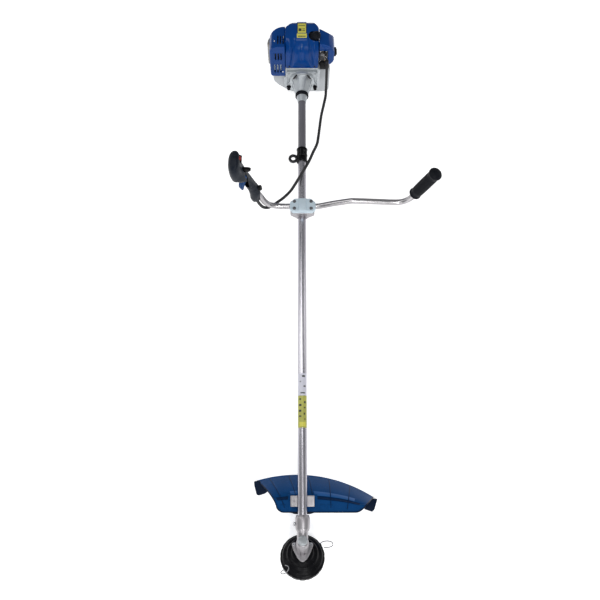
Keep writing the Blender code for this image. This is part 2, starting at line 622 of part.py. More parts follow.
def build_clutch():
    cone = [(TUBE_R + GAP, CONE_FRONT), (0.0225, CONE_FRONT), (0.0240, 0.7830), (0.0355, 0.8265)]
    cone.append((0.0370, 0.8290))
    cone += [(FLANGE_R, 0.8300), (FLANGE_R, FAN_FRONT - GAP), (0.0405, FAN_FRONT - GAP), (0.0405, 0.8312)]
    cone += [(0.0340, 0.8285), (0.0150, 0.8285), (0.0150, 0.8150), (TUBE_R + GAP, 0.8150)]
    housing = make("clutch_housing", turned(cone), "aluminium", axis=ALONG)
    ears = make("housing_ears", facing_y(prism(flange_outline(), 0.8380, FAN_FRONT - GAP)), None)
    cut(ears, make("ears_room", cylinder(0.0405, 0.82, 0.86, SIDES), None, axis=ALONG))
    join(housing, ears)
    make("drum_bearing", ring(0.0147, 0.0067, 0.8155, 0.8275), "steel", axis=ALONG)
    drum = [(ROD_R + GAP, 0.8160), (0.0064, 0.8160), (0.0064, 0.8320), (0.0380, 0.8320), (0.0380, 0.8540)]
    drum += [(0.0362, 0.8540), (0.0362, 0.8340), (0.0080, 0.8340), (0.0080, 0.8420), (ROD_R + GAP, 0.8420)]
    make("clutch_drum", turned(drum), "steel", axis=ALONG)
    make("clutch_hub", facing_y(prism(hub_outline(), 0.8440, 0.8540)), "steel")
    for node, side in (("clutch_shoe_upper", 1), ("clutch_shoe_lower", -1)):
        outline = arc((0, 0), 0.0345, 25, 155, 9) + arc((0, 0), 0.0240, 155, 25, 7)
        outline = [(x, z * side) for x, z in outline]
        make(node, facing_y(prism(outline, 0.8445, 0.8535)), "steel")


def hub_outline():
    """The hub that drives the shoes: a bar with a lug at each end that fits between them."""
    half = [(0.0085, -0.0205), (0.0220, -0.0090), (0.0325, -0.0100), (0.0325, 0.0100), (0.0220, 0.0090)]
    half.append((0.0085, 0.0205))
    return half + [(-x, -z) for x, z in half]


def build_crank_train():
    journal = [(0, 0.8560), (0.0075, 0.8560), (0.0075, 0.9060), (0.0235, 0.9060), (0.0235, 0.9150)]
    journal.append((0, 0.9150))
    make("crankshaft", turned(journal, SMALL_SIDES), "steel", axis=ALONG)
    blades = 12
    outline = []
    for k in range(blades):
        for part_of_pitch, radius in ((0.0, 0.0340), (0.04, 0.0460), (0.30, 0.0460), (0.36, 0.0340)):
            a = 2 * math.pi * (k + part_of_pitch) / blades
            outline.append((radius * math.cos(a), radius * math.sin(a)))
    fan = make("flywheel", facing_y(prism(outline, 0.8570, 0.8830)), "casting")
    cut(fan, make("flywheel_bore", bore(0.0075, 0.84, 0.90), None, axis=ALONG))
    piston = [(0, 0.0920), (BORE_R, 0.0920), (BORE_R, 0.0640), (0.0170, 0.0640), (0.0170, 0.0880)]
    piston.append((0, 0.0880))
    make("piston", turned(piston), "aluminium", (0, CYLINDER_Y, 0))
    rod = block((-0.0045, -0.0030, 0.0250), (0.0045, 0.0030, 0.0740))
    rod = make("connecting_rod", rod, "steel", (0, CYLINDER_Y, 0))
    y0 = CYLINDER_Y - 0.0085
    big_end = make("rod_big_end", cylinder(0.0125, 0.0, 0.0170), None, (0, y0, PIN_THROW), ALONG)
    small_end = make("rod_small_end", cylinder(0.0080, -0.006, 0.006), None, (0, CYLINDER_Y, 0.0760), ALONG)
    pin = make("wrist_pin", cylinder(0.0045, -0.0150, 0.0150, 12), None, (0, CYLINDER_Y, 0.0760), ALONG)
    join(rod, big_end, small_end, pin)


# ---- engine castings ----
PLUG_ROOT = Vector((0.0110, 0.9120, 0.1150))
PLUG_WAY = Vector((0.60, -0.40, 0.69)).normalized()


def build_castings():
    shape = rounded_outline((-0.0580, -0.0600), (0.0580, 0.0512), (0.034, 0.034, 0.012, 0.012), 4)
    fan = make("fan_housing", facing_y(prism(shape, FAN_FRONT, CASE_FRONT - GAP)), "casting")
    room = make("fan_room", cylinder(0.0490, 0.8495, 0.91, SIDES), None, axis=ALONG)
    cut(fan, room, make("fan_mouth", cylinder(0.0425, 0.83, 0.87, SIDES), None, axis=ALONG))
    shape = rounded_outline((-0.0500, -0.0520), (0.0460, 0.0420), (0.020, 0.020, 0.006, 0.006), 3)
    case = make("crankcase", facing_y(prism(shape, CASE_FRONT, CASE_REAR)), "casting")
    chamber = make("crank_chamber", cylinder(0.0300, 0.9010, 0.9520, SIDES), None, axis=ALONG)
    journals = make("crank_journals", bore(0.0075, 0.88, 0.97), None, axis=ALONG)
    skirt = make("crank_skirt", bore(BORE_R, 0.0, 0.06, SIDES), None, (0, CYLINDER_Y, 0))
    cut(case, chamber, journals, skirt)
    fins = [(BORE_R + GAP, 0.0423), (0.0300, 0.0423), (0.0300, 0.0470), (0.0260, 0.0520)]
    for k in range(5):
        z = 0.0640 + k * 0.0100
        fins += [(0.0260, z), (0.0420, z), (0.0420, z + 0.0035), (0.0260, z + 0.0035)]
    fins += [(0.0240, 0.1190), (0, 0.1190), (0, 0.1000), (BORE_R + GAP, 0.0980)]
    barrel = make("cylinder", turned(fins), "casting", (0, CYLINDER_Y, 0))
    cut(barrel, make("plug_hole", bore(0.0070, -0.0300, 0.0400), None, PLUG_ROOT, PLUG_WAY))


def build_ignition():
    plug = [(0, -0.0060), (0.0068, -0.0060), (0.0070, 0.0110), (0.0115, 0.0115), (0.0115, 0.0190)]
    plug.append((0.0065, 0.0200))
    plug += [(0.0060, 0.0400), (0.0035, 0.0410), (0.0035, 0.0480), (0, 0.0480)]
    make("spark_plug", turned(plug, 12), "white", PLUG_ROOT, PLUG_WAY)
    boot = [(0.0075, 0.0240), (0.0122, 0.0240), (0.0130, 0.0500), (0.0140, 0.0600), (0.0125, 0.0700)]
    boot.append((0.0060, 0.0750))
    boot += [(0, 0.0750), (0, 0.0500), (0.0062, 0.0490), (0.0075, 0.0420)]
    make("plug_boot", turned(boot, SMALL_SIDES), "rubber", PLUG_ROOT, PLUG_WAY)


# ---- covers, muffler, filter ----
COVER_WALL = 0.0030


def shell_of(node, outline, inner, span, open_span, facing):
    """An extruded cover with a room of the inner outline taken out of it; spans lie along the extrusion."""
    cover = make(node, facing(prism(outline, *span)), "blue")
    room = make(node + "_room", facing(prism(inner, *open_span)), None)
    cut(cover, room)
    return cover, room


def slope_rear(cover, room, top_y, top_z):
    """Slopes a cover's rear top edge down at 45 degrees, and its room's in parallel."""
    for piece, shift in ((cover, 0.0), (room, COVER_WALL * math.sqrt(2))):
        y, z = top_y - shift, top_z
        wedge = [(y, z), (y + 0.30, z - 0.30), (y + 0.30, z + 0.10), (y, z + 0.10)]
        cut(piece, make(piece.name + "_slope", facing_x(prism(wedge, -0.2, 0.2)), None))


def build_covers():
    outer = [(0.8470, 0.0520), (0.8480, 0.0820), (0.8500, 0.1120), (0.8560, 0.1270), (0.8670, 0.1410)]
    outer.append((0.8820, 0.1510))
    outer += [(0.9000, 0.1548), (0.9250, 0.1555), (0.9440, 0.1530), (0.9640, 0.1370), (0.9800, 0.1190)]
    outer += [(0.9860, 0.1080), (0.9860, 0.0520)]
    inner = [(0.8500, 0.0400), (0.8510, 0.0820), (0.8530, 0.1115), (0.8586, 0.1256), (0.8690, 0.1388)]
    inner.append((0.8833, 0.1482))
    inner += [(0.9005, 0.1518), (0.9247, 0.1525), (0.9427, 0.1502), (0.9619, 0.1349), (0.9776, 0.1172)]
    inner += [(0.9830, 0.1072), (0.9830, 0.0400)]
    spans = (-0.0580, 0.0575), (-0.0550, 0.0545)
    cover, _ = shell_of("cylinder_cover", outer, inner, *spans, facing_x)
    boot_way = make("boot_way", cylinder(0.0165, 0.0100, 0.1000), None, PLUG_ROOT, PLUG_WAY)
    pipe_way = make("pipe_way", block((0.0300, 0.8950, 0.0680), (0.0650, 0.9290, 0.1010)), None)
    exhaust_way = make("exhaust_way", block((-0.0700, 0.9100, 0.0600), (-0.0400, 0.9440, 0.1000)), None)
    cut(cover, boot_way, pipe_way, exhaust_way)
    muffler = make("muffler", block((-0.1200, 0.8950, 0.0160), (-0.0655, 0.9550, 0.1150)), "steel")
    port = make("exhaust_port", cylinder(0.0100, -0.0660, -0.0425), None, (0, CYLINDER_Y, 0.0800), RIGHT)
    join(muffler, port)
    outline = rounded_outline((-0.1120, 0.0080), (-0.0585, 0.1450), (0.012, 0.008, 0.004, 0.030), 3)
    inside = rounded_outline((-0.1090, 0.0110), (-0.0612, 0.1420), (0.009, 0.005, 0.002, 0.027), 3)
    spans = (0.8510, 0.9860), (0.8540, 0.9900)
    cover, room = shell_of("muffler_cover", outline, inside, *spans, facing_y)
    slope_rear(cover, room, 0.9380, 0.1450)
    window = make("muffler_window", block((-0.1250, 0.8925, 0.0050), (-0.1050, 1.0, 0.1180)), None)
    side = make("muffler_side", block((-0.0800, 0.8925, 0.0450), (-0.0500, 1.0, 0.1200)), None)
    rows = ((0.030, 0.066), (0.076, 0.098), (0.106, 0.128))
    vents = [slot_cutter(x, low, high) for x in (-0.0955, -0.0875, -0.0795, -0.0715) for low, high in rows]
    cut(cover, window, side, *vents)


def slot_cutter(x, low, high):
    return make("vent", block((x - 0.0020, 0.8400, low), (x + 0.0020, 0.8600, high)), None)


FILTER_OUTLINE = [(0.0600, 0.1160), (0.0900, 0.1160), (0.0900, 0.0560), (0.1000, 0.0540), (0.1120, 0.0700)]
FILTER_OUTLINE += [(0.1120, 0.1060), (0.1060, 0.1220), (0.0920, 0.1370), (0.0760, 0.1440), (0.0600, 0.1460)]
FILTER_ROOM = [(0.0630, 0.1190), (0.0930, 0.1190), (0.0930, 0.0586), (0.0987, 0.0573), (0.1090, 0.0710)]
FILTER_ROOM += [(0.1090, 0.1054), (0.1034, 0.1203), (0.0902, 0.1344), (0.0752, 0.1410), (0.0630, 0.1428)]
FILTER_SPAN = (0.8620, 0.9780)
KNOB_AT = Vector((0.1123, 0.8850, 0.0880))
CARB_X = 0.0740
PRIMER_AT = Vector((CARB_X, 0.8900, 0.0505))


def build_intake():
    body = block((CARB_X - 0.0140, 0.8700, 0.0570), (CARB_X + 0.0135, 0.9180, 0.1100))
    carb = make("carburettor", body, "casting")
    bowl = make("carb_bowl", cylinder(0.0130, 0.0480, 0.0600), None, (CARB_X, 0.8900, 0))
    primer_seat = make("primer_seat", cylinder(0.0092, 0.0400, 0.0560), None, (CARB_X, 0.8900, 0))
    throat = make("carb_throat", cylinder(0.0090, 0.0400, 0.1000), None, (0, 0.9050, 0.0850), RIGHT)
    flange = make("carb_flange", block((0.0430, 0.8965, 0.0700), (0.0620, 0.9175, 0.0990)), None)
    join(carb, bowl, flange)
    cut(carb, primer_seat, throat)
    lever = [(-0.0040, 0.0050), (-0.0040, -0.0050), (0.0035, -0.0055), (0.0120, -0.0195), (0.0170, -0.0180)]
    lever += [(0.0085, 0.0010), (0.0040, 0.0050)]
    make("carb_throttle_lever", facing_y(prism(lever, -0.0015, 0.0015)), "steel", (0.0690, 0.8680, 0.0930))
    choke = [(-0.0045, 0.0050), (-0.0045, -0.0050), (0.0030, -0.0280), (0.0085, -0.0270), (0.0050, 0.0050)]
    make("choke_lever", prism(choke, -0.0012, 0.0012), "black", (CARB_X, 0.8830, 0.1128))
    bulb = [(0, -0.0100), (0.0050, -0.0090), (0.0082, -0.0050), (0.0086, 0.0000), (0, 0.0000)]
    make("primer_bulb", turned(bulb, SMALL_SIDES), "rubber", PRIMER_AT)
    front, rear = FILTER_SPAN
    spans = FILTER_SPAN, (front + COVER_WALL, 1.0)
    cover, room = shell_of("filter_cover", FILTER_OUTLINE, FILTER_ROOM, *spans, facing_y)
    slope_rear(cover, room, 0.9300, 0.1460)
    back = [(0.0610, 0.0965), (0.0880, 0.0965), (0.0930, 0.0600), (0.0990, 0.0580), (0.1100, 0.0720)]
    back += [(0.1100, 0.0965)]
    make("filter_backplate", facing_y(prism(back, rear + GAP, rear + 0.0050)), "black")
    make("filter_foam", block((0.0650, 0.8700, 0.1210), (0.0900, 0.9300, 0.1330)), "foam")
    knob = make("filter_knob", cylinder(0.0150, 0.0, 0.0060, SMALL_SIDES), "black", KNOB_AT, RIGHT)
    rib = make("knob_rib", block((-0.0125, -0.0022, 0.0), (0.0125, 0.0022, 0.0090)), None, KNOB_AT, RIGHT)
    join(knob, rib)


# ---- starter, tank, stand ----
ROPE_Z = 0.0300


def build_starter():
    shell = [(0.0505, CASE_REAR + GAP), (0.0505, 0.9950), (0.0450, 1.0120), (0.0280, STARTER_REAR)]
    shell.append((0, STARTER_REAR))
    shell += [(0, 1.0140), (0.0270, 1.0140), (0.0430, 1.0090), (0.0475, 0.9940), (0.0475, CASE_REAR + GAP)]
    housing = make("starter_housing", turned(shell), "black", axis=ALONG)
    cut(housing, make("rope_way", cylinder(0.0042, 0.0300, 0.0800), None, (0, 0.9900, ROPE_Z), RIGHT))
    bar = rounded_outline((-0.0090, -0.0235), (0.0070, 0.0235), (0.005, 0.007, 0.007, 0.005), 2)
    grip = make("starter_grip", facing_y(prism(bar, -0.0065, 0.0065)), "black", (0.0720, 0.9900, ROPE_Z))
    rope = make("grip_rope", cylinder(0.0018, -0.0660, 0.0, 8), None, (0.0700, 0.9900, ROPE_Z), RIGHT)
    join(grip, rope)


TANK_FRONT = 0.8860
TANK_REAR = 1.0400


def tank_outline(inset):
    """The tank seen from the front, with its long slanting corner at the lower left."""
    corner = [(-0.1060, -0.0480), (-0.1040, -0.0620), (-0.0880, -0.0830), (-0.0700, -0.0970)]
    corner.append((-0.0520, -0.1100))
    corner.append((-0.0380, -0.1180))
    left = [(x + 0.8 * inset, z + 0.7 * inset) for x, z in corner]
    low_right = arc((0.0860, -0.1020), 0.0160 - inset, 270, 360, 3)
    high_right = arc((0.0900, -0.0080), 0.0120 - inset, 0, 90, 3)
    high_left = arc((-0.0940, -0.0080), 0.0120 - inset, 90, 180, 3)
    return left + low_right + high_right + high_left


def saddle_outline(margin):
    radii = (0.030, 0.030, 0.002, 0.002)
    return rounded_outline((-0.0640 - margin, -0.0640 - margin), (0.0640 + margin, 0.0600), radii, 3)


def build_tank():
    tank = make("fuel_tank", facing_y(prism(tank_outline(0.0), TANK_FRONT, TANK_REAR)), "tank")
    cut(tank, make("tank_saddle", facing_y(prism(saddle_outline(0.0), 0.80, 1.10)), None))
    wall = 0.0030
    room = make("tank_room", facing_y(prism(tank_outline(wall), TANK_FRONT + wall, TANK_REAR - wall)), None)
    cut(room, make("tank_island", facing_y(prism(saddle_outline(wall), 0.80, 1.10)), None))
    filler = make("tank_filler", cylinder(0.0120, 1.0300, 1.0500), None, (-0.0850, 0, -0.0300), ALONG)
    cut(tank, room, filler)
    cap = [(0, 1.0403), (0.0165, 1.0403), (0.0165, 1.0520), (0.0150, 1.0535), (0, 1.0535)]
    make("tank_cap", turned(cap), "black", (-0.0850, 0, -0.0300), ALONG)
    sole = rounded_outline((-0.0450, 0.8960), (0.0850, 1.0300), (0.012,) * 4, 2)
    make("tank_stand", prism(sole, -AXIS_HEIGHT, -0.1183), "black")


clear_scene()
machine = bpy.data.objects.new("machine_frame", None)
bpy.context.scene.collection.objects.link(machine)
build_shaft()
build_harness_clamp()
build_bracket()
build_bars()
build_throttle_handle()
build_cable()
build_guard()
build_gear_head()
build_line_head()
build_clutch()
build_crank_train()
build_castings()
build_ignition()
build_covers()
build_intake()
build_starter()
build_tank()
machine.location = (AXIS_X, AXIS_Y, AXIS_HEIGHT)
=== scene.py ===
"""Looks for the brush cutter: its finishes, moulded covers, castings, fasteners and trimmer line."""

import math

import bmesh
import bpy
from mathutils import Matrix, Vector


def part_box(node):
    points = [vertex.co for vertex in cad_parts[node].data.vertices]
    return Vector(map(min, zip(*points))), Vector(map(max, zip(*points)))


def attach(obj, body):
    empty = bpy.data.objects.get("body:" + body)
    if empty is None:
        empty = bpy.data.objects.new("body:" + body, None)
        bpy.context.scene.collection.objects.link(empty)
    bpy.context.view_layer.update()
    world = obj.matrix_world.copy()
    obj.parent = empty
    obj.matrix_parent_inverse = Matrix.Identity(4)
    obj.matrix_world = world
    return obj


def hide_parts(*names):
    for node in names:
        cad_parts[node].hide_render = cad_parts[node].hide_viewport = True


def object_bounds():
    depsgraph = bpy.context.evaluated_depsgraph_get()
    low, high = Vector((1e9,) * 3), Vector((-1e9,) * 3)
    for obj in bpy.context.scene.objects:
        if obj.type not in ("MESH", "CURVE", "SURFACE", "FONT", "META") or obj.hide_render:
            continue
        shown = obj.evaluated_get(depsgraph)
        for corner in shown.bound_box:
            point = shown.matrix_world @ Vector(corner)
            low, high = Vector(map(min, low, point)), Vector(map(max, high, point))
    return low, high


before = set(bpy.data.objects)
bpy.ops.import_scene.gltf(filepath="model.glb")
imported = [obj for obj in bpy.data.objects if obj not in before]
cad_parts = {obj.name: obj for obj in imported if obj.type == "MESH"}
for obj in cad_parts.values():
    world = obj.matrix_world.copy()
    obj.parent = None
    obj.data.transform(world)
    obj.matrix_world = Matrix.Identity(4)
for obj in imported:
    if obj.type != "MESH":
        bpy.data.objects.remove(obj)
CAD_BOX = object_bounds()

# ---- the shaft's frame: origin on its axis, +Y to the engine, +Z up ----
TUBE_FRONT = -0.6625
TUBE_REAR = 0.812
TUBE_R = 0.013
TUBE_LOW, TUBE_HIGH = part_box("shaft_tube")
ORIGIN = Vector(((TUBE_LOW.x + TUBE_HIGH.x) / 2, TUBE_LOW.y - TUBE_FRONT, (TUBE_LOW.z + TUBE_HIGH.z) / 2))
SHAFT = Matrix.Translation(ORIGIN)
ALONG = (0, 1, 0)
BACK = (0, -1, 0)
UP = (0, 0, 1)
RIGHT = (1, 0, 0)
GAP = 0.0003
GEAR_CENTRE = Vector((0, -0.6985, 0))
HEAD_AXIS = Vector((0, 0.5, math.sqrt(0.75)))


# ---- camera, floor and light ----
def build_camera():
    data = bpy.data.cameras.new("camera")
    data.lens = 33
    data.sensor_width = 36
    camera = bpy.data.objects.new("camera", data)
    camera.location = ORIGIN + Vector((-0.0069, -0.556, 1.617))
    camera.rotation_euler = (math.radians(19), 0, 0)
    bpy.context.scene.collection.objects.link(camera)
    bpy.context.scene.camera = camera


def area_light(name, place, target, size, power):
    data = bpy.data.lights.new(name, "AREA")
    data.shape = "RECTANGLE"
    data.size, data.size_y = size
    data.energy = power
    light = bpy.data.objects.new(name, data)
    light.location = place
    light.rotation_euler = (Vector(target) - Vector(place)).to_track_quat("-Z", "Y").to_euler()
    bpy.context.scene.collection.objects.link(light)


# Each light: its place, the point it faces, its width and length, and its power in watts
LIGHTS = {
    "soft_top": ((-0.9, 0.4, 2.8), (0, 0, 0), (0.8, 2.6), 18),
    "soft_front": ((0.5, -3.0, 2.3), (0, 0, 0.1), (1.2, 0.8), 9),
    "soft_left": ((-2.6, 0.4, 1.5), (0, 0, 0.1), (0.6, 2.4), 9),
    "soft_right": ((2.6, 0.8, 1.7), (0, 0, 0.1), (0.6, 2.0), 6),
    "soft_key": ((0.35, -1.3, 2.6), (-0.1, 0.5, 0.2), (0.3, 0.3), 14),
    "streak_left": ((-0.62, -2.1, 1.35), (-0.1, 0.75, 0.2), (0.07, 0.4), 7),
    "streak_right": ((0.42, -2.1, 1.35), (-0.1, 0.75, 0.2), (0.07, 0.4), 7),
}


def build_studio():
    scene = bpy.context.scene
    scene.view_settings.view_transform = "Standard"
    world = bpy.data.worlds.new("studio")
    world.use_nodes = True
    background = world.node_tree.nodes["Background"]
    background.inputs["Color"].default_value = (0.95, 0.97, 1.0, 1)
    background.inputs["Strength"].default_value = 0.24
    scene.world = world
    for name, values in LIGHTS.items():
        area_light(name, *values)
    bm = bmesh.new()
    bmesh.ops.create_grid(bm, x_segments=4, y_segments=4, size=40)
    mesh = bpy.data.meshes.new("floor")
    bm.to_mesh(mesh)
    bm.free()
    floor = bpy.data.objects.new("floor", mesh)
    floor.location.z = CAD_BOX[0].z - 0.0005
    scene.collection.objects.link(floor)
    pale = finish("studio_floor", (0.92, 0.92, 0.92), 0.9, spread=0.01, grain=60, relief=0.0)
    shader = pale.node_tree.nodes["Principled BSDF"]
    shader.inputs["Emission Color"].default_value = (1, 1, 1, 1)
    shader.inputs["Emission Strength"].default_value = 0.62
    mesh.materials.append(pale)


# ---- finishes ----
PATCH_SCALE = 14
COAT_ROUGHNESS = 0.06


def noise(tree, where, scale, detail, stretch):
    mapping = tree.nodes.new("ShaderNodeMapping")
    mapping.inputs["Scale"].default_value = stretch
    tree.links.new(where, mapping.inputs["Vector"])
    texture = tree.nodes.new("ShaderNodeTexNoise")
    texture.inputs["Scale"].default_value = scale
    texture.inputs["Detail"].default_value = detail
    tree.links.new(mapping.outputs["Vector"], texture.inputs["Vector"])
    return texture.outputs["Fac"]


def ramp(tree, value, low, high, start=0.35, end=0.65):
    node = tree.nodes.new("ShaderNodeValToRGB")
    first, last = node.color_ramp.elements
    first.position, first.color = start, (*low, 1)
    last.position, last.color = end, (*high, 1)
    tree.links.new(value, node.inputs["Fac"])
    return node.outputs["Color"]


def spread_of(tree, value, low, high):
    node = tree.nodes.new("ShaderNodeMapRange")
    node.inputs["To Min"].default_value = low
    node.inputs["To Max"].default_value = high
    tree.links.new(value, node.inputs["Value"])
    return node.outputs["Result"]


def finish(name, colour, roughness, metallic=0.0, spread=0.12, grain=400, relief=0.15, depth=0.0003,
           stretch=(1, 1, 1), coat=0.0, wear=None, specular=0.5, edge=(1, 1, 1)):
    """A node material whose colour, roughness and relief vary, with worn or dusty patches."""
    material = bpy.data.materials.new(name)
    material.use_nodes = True
    tree = material.node_tree
    shader = tree.nodes["Principled BSDF"]
    shader.inputs["Metallic"].default_value = metallic
    shader.inputs["Coat Weight"].default_value = coat
    shader.inputs["Coat Roughness"].default_value = COAT_ROUGHNESS
    shader.inputs["Specular IOR Level"].default_value = specular
    # The edge colour goes to Specular Tint; the near-black edge given to the tube and the bars paints dark
    # reflections along their edges.
    shader.inputs["Specular Tint"].default_value = (*edge, 1)
    where = tree.nodes.new("ShaderNodeTexCoord").outputs["Object"]
    patches = noise(tree, where, PATCH_SCALE, 5.0, stretch)
    fine = noise(tree, where, grain, 3.0, stretch)
    dark = [c * (1 - spread) for c in colour]
    light = [min(1.0, c * (1 + spread)) for c in colour]
    shown = ramp(tree, patches, dark, light)
    if wear:
        mask = ramp(tree, noise(tree, where, grain / 6, 6.0, stretch), (0, 0, 0), (1, 1, 1), 0.58, 0.72)
        mix = tree.nodes.new("ShaderNodeMix")
        mix.data_type = "RGBA"
        tree.links.new(mask, mix.inputs["Factor"])
        tree.links.new(shown, mix.inputs[6])
        mix.inputs[7].default_value = (*wear, 1)
        shown = mix.outputs[2]
    tree.links.new(shown, shader.inputs["Base Color"])
    rough = spread_of(tree, fine, roughness * 0.8, min(1.0, roughness * 1.2))
    tree.links.new(rough, shader.inputs["Roughness"])
    if relief:
        bump = tree.nodes.new("ShaderNodeBump")
        bump.inputs["Strength"].default_value = relief
        bump.inputs["Distance"].default_value = depth
        tree.links.new(fine, bump.inputs["Height"])
        tree.links.new(bump.outputs["Normal"], shader.inputs["Normal"])
    return material


LOOK_TABLE = {
    "cast": ("cast_aluminium", ((0.47, 0.5, 0.52), 0.46, 0.55, 0.08, 900, 0.35, 0.0004),
             {"wear": (0.6, 0.62, 0.64)}),
    # The tube's and the bars' near-black edge tint paints dark reflections at their edges.
    "tube": ("bright_tube", ((0.58, 0.565, 0.61), 0.27, 1.0, 0.05, 300, 0.01, 0.0001, (60, 1.5, 60)),
             {"edge": (0.05, 0.05, 0.06)}),
    "bar": ("bright_tube", ((0.5, 0.485, 0.495), 0.28, 1.0, 0.08, 500, 0.04, 0.0002),
            {"edge": (0.05, 0.05, 0.06)}),
    "sleeve": ("bright_tube", ((0.17, 0.165, 0.185), 0.45, 0.3, 0.08, 700, 0.1, 0.0002), {}),
    "cast_light": ("cast_aluminium", ((0.57, 0.68, 0.75), 0.45, 0.15, 0.06, 1100, 0.4, 0.0004),
                   {"wear": (0.66, 0.75, 0.81)}),
    "gear_case": ("cast_aluminium", ((0.4, 0.385, 0.4), 0.42, 0.75, 0.08, 900, 0.2, 0.0003),
                  {"wear": (0.46, 0.45, 0.46)}),
    "cast_dark": ("cast_aluminium", ((0.035, 0.035, 0.038), 0.45, 0.4, 0.2, 900, 0.35, 0.0004),
                  {"wear": (0.07, 0.07, 0.075)}),
    "steel": ("steel", ((0.5, 0.5, 0.51), 0.3, 1.0, 0.08, 800, 0.1, 0.0002, (1, 1, 8)), {}),
    "dark_steel": ("steel", ((0.2, 0.2, 0.21), 0.34, 0.9, 0.15, 900, 0.1, 0.0002), {}),
    "chrome": ("steel", ((0.75, 0.76, 0.78), 0.16, 1.0, 0.04, 900, 0.05, 0.0001), {}),
    "black_oxide": ("steel", ((0.03, 0.03, 0.033), 0.38, 0.7, 0.2, 900, 0.1, 0.0002), {}),
    "muffler": ("muffler_steel", ((0.33, 0.33, 0.33), 0.5, 0.8, 0.2, 500, 0.3, 0.0004),
                {"wear": (0.24, 0.19, 0.14)}),
    "bronze": ("bronze", ((0.45, 0.3, 0.14), 0.4, 1.0, 0.1, 900, 0.15), {}),
    "rubber": ("rubber", ((0.006, 0.007, 0.01), 0.5, 0.0, 0.2, 1200, 0.3, 0.0004),
               {"specular": 0.1, "wear": (0.011, 0.012, 0.016)}),
    "black": ("black_plastic", ((0.004, 0.004, 0.005), 0.32, 0.0, 0.2, 1400, 0.2, 0.0003),
              {"specular": 0.12, "wear": (0.01, 0.01, 0.012)}),
    "handle": ("black_plastic", ((0.009, 0.013, 0.021), 0.42, 0.0, 0.15, 1500, 0.35, 0.0003),
               {"specular": 0.14, "wear": (0.018, 0.023, 0.032)}),
    "blue": ("blue_plastic", ((0.0004, 0.046, 0.225), 0.3, 0.0, 0.06, 700, 0.02, 0.0001),
             {"coat": 0.38, "specular": 0.02}),
    "trigger_blue": ("blue_plastic", ((0.003, 0.045, 0.16), 0.4, 0.0, 0.1, 900, 0.15, 0.0003),
            {"specular": 0.1}),
    "guard": ("guard_plastic", ((0.003, 0.048, 0.165), 0.5, 0.0, 0.08, 1100, 0.25, 0.0003),
              {"specular": 0.04, "wear": (0.005, 0.055, 0.2)}),
    # Painted shade: a near-black copy of the guard's blue for its lip and its end hooks.
    "guard_deep_shade": ("guard_plastic", ((0.002, 0.01, 0.03), 0.5, 0.0, 0.1, 1100, 0.25, 0.0003),
                   {"specular": 0.1}),
    # Painted shade: a darker copy of the guard's blue for strips in its groove and along its ribs.
    "guard_soft_shade": ("guard_plastic", ((0.0015, 0.018, 0.065), 0.5, 0.0, 0.1, 1100, 0.2, 0.0003),
                   {"specular": 0.05}),
    # Painted highlight: a lighter copy of the guard's blue for the band on its shoulder.
    "guard_highlight": ("guard_plastic", ((0.018, 0.095, 0.29), 0.3, 0.0, 0.08, 1100, 0.2, 0.0003),
                    {"specular": 0.2}),
    "red": ("red_plastic", ((0.36, 0.035, 0.03), 0.4, 0.0, 0.1, 900, 0.15, 0.0003), {}),
    "tank": ("tank_plastic", ((0.46, 0.48, 0.5), 0.38, 0.0, 0.05, 500, 0.15, 0.0003), {"coat": 0.1}),
    "cable": ("cable_sleeve", ((0.013, 0.013, 0.015), 0.5, 0.0, 0.2, 1200, 0.2, 0.0003), {}),
    "line": ("nylon_line", ((0.22, 0.22, 0.23), 0.35, 0.0, 0.1, 900, 0.1, 0.0002), {}),
    "foam": ("foam", ((0.07, 0.07, 0.075), 0.95, 0.0, 0.3, 1500, 0.9, 0.0012), {}),
    "white_label": ("blue_plastic", ((0.66, 0.66, 0.74), 0.3, 0.0, 0.04, 500, 0.05), {}),
    "yellow_label": ("blue_plastic", ((0.66, 0.62, 0.1), 0.3, 0.0, 0.05, 500, 0.05), {}),
    "olive_label": ("blue_plastic", ((0.44, 0.44, 0.09), 0.3, 0.0, 0.12, 300, 0.05), {}),
    "ink": ("black_plastic", ((0.03, 0.035, 0.03), 0.4, 0.0, 0.1, 500, 0.05), {}),
    "porcelain": ("steel", ((0.8, 0.8, 0.78), 0.25, 0.0, 0.03, 500, 0.03), {"coat": 0.5}),
}


def make_looks():
    """Each look is (material, the record's slot)."""
    looks = {}
    for name, (slot, values, extras) in LOOK_TABLE.items():
        looks[name] = (finish("look_" + name, *values, **extras), slot)
    return looks


# ---- mesh helpers ----
def turn_to(axis):
    """The rotation that takes local +Z to the axis."""
    return Vector(axis).to_track_quat("Z", "Y").to_matrix().to_4x4()


def moved(bm, at=(0, 0, 0), axis=None, turn=0.0):
    """The mesh with its origin taken to a point and its local +Z to an axis."""
    rotation = turn_to(axis) if axis is not None else Matrix.Identity(4)
    bm.transform(Matrix.Translation(at) @ rotation @ Matrix.Rotation(turn, 4, "Z"))
    return bm


def merged(*parts):
    """One mesh of several separate solids."""
    whole = bmesh.new()
    for part in parts:
        mesh = bpy.data.meshes.new("part")
        part.to_mesh(mesh)
        part.free()
        whole.from_mesh(mesh)
        bpy.data.meshes.remove(mesh)
    return whole


def loose_object(bm):
    bmesh.ops.recalc_face_normals(bm, faces=bm.faces)
    mesh = bpy.data.meshes.new("loose")
    bm.to_mesh(mesh)
    bm.free()
    obj = bpy.data.objects.new("loose", mesh)
    bpy.context.scene.collection.objects.link(obj)
    return obj


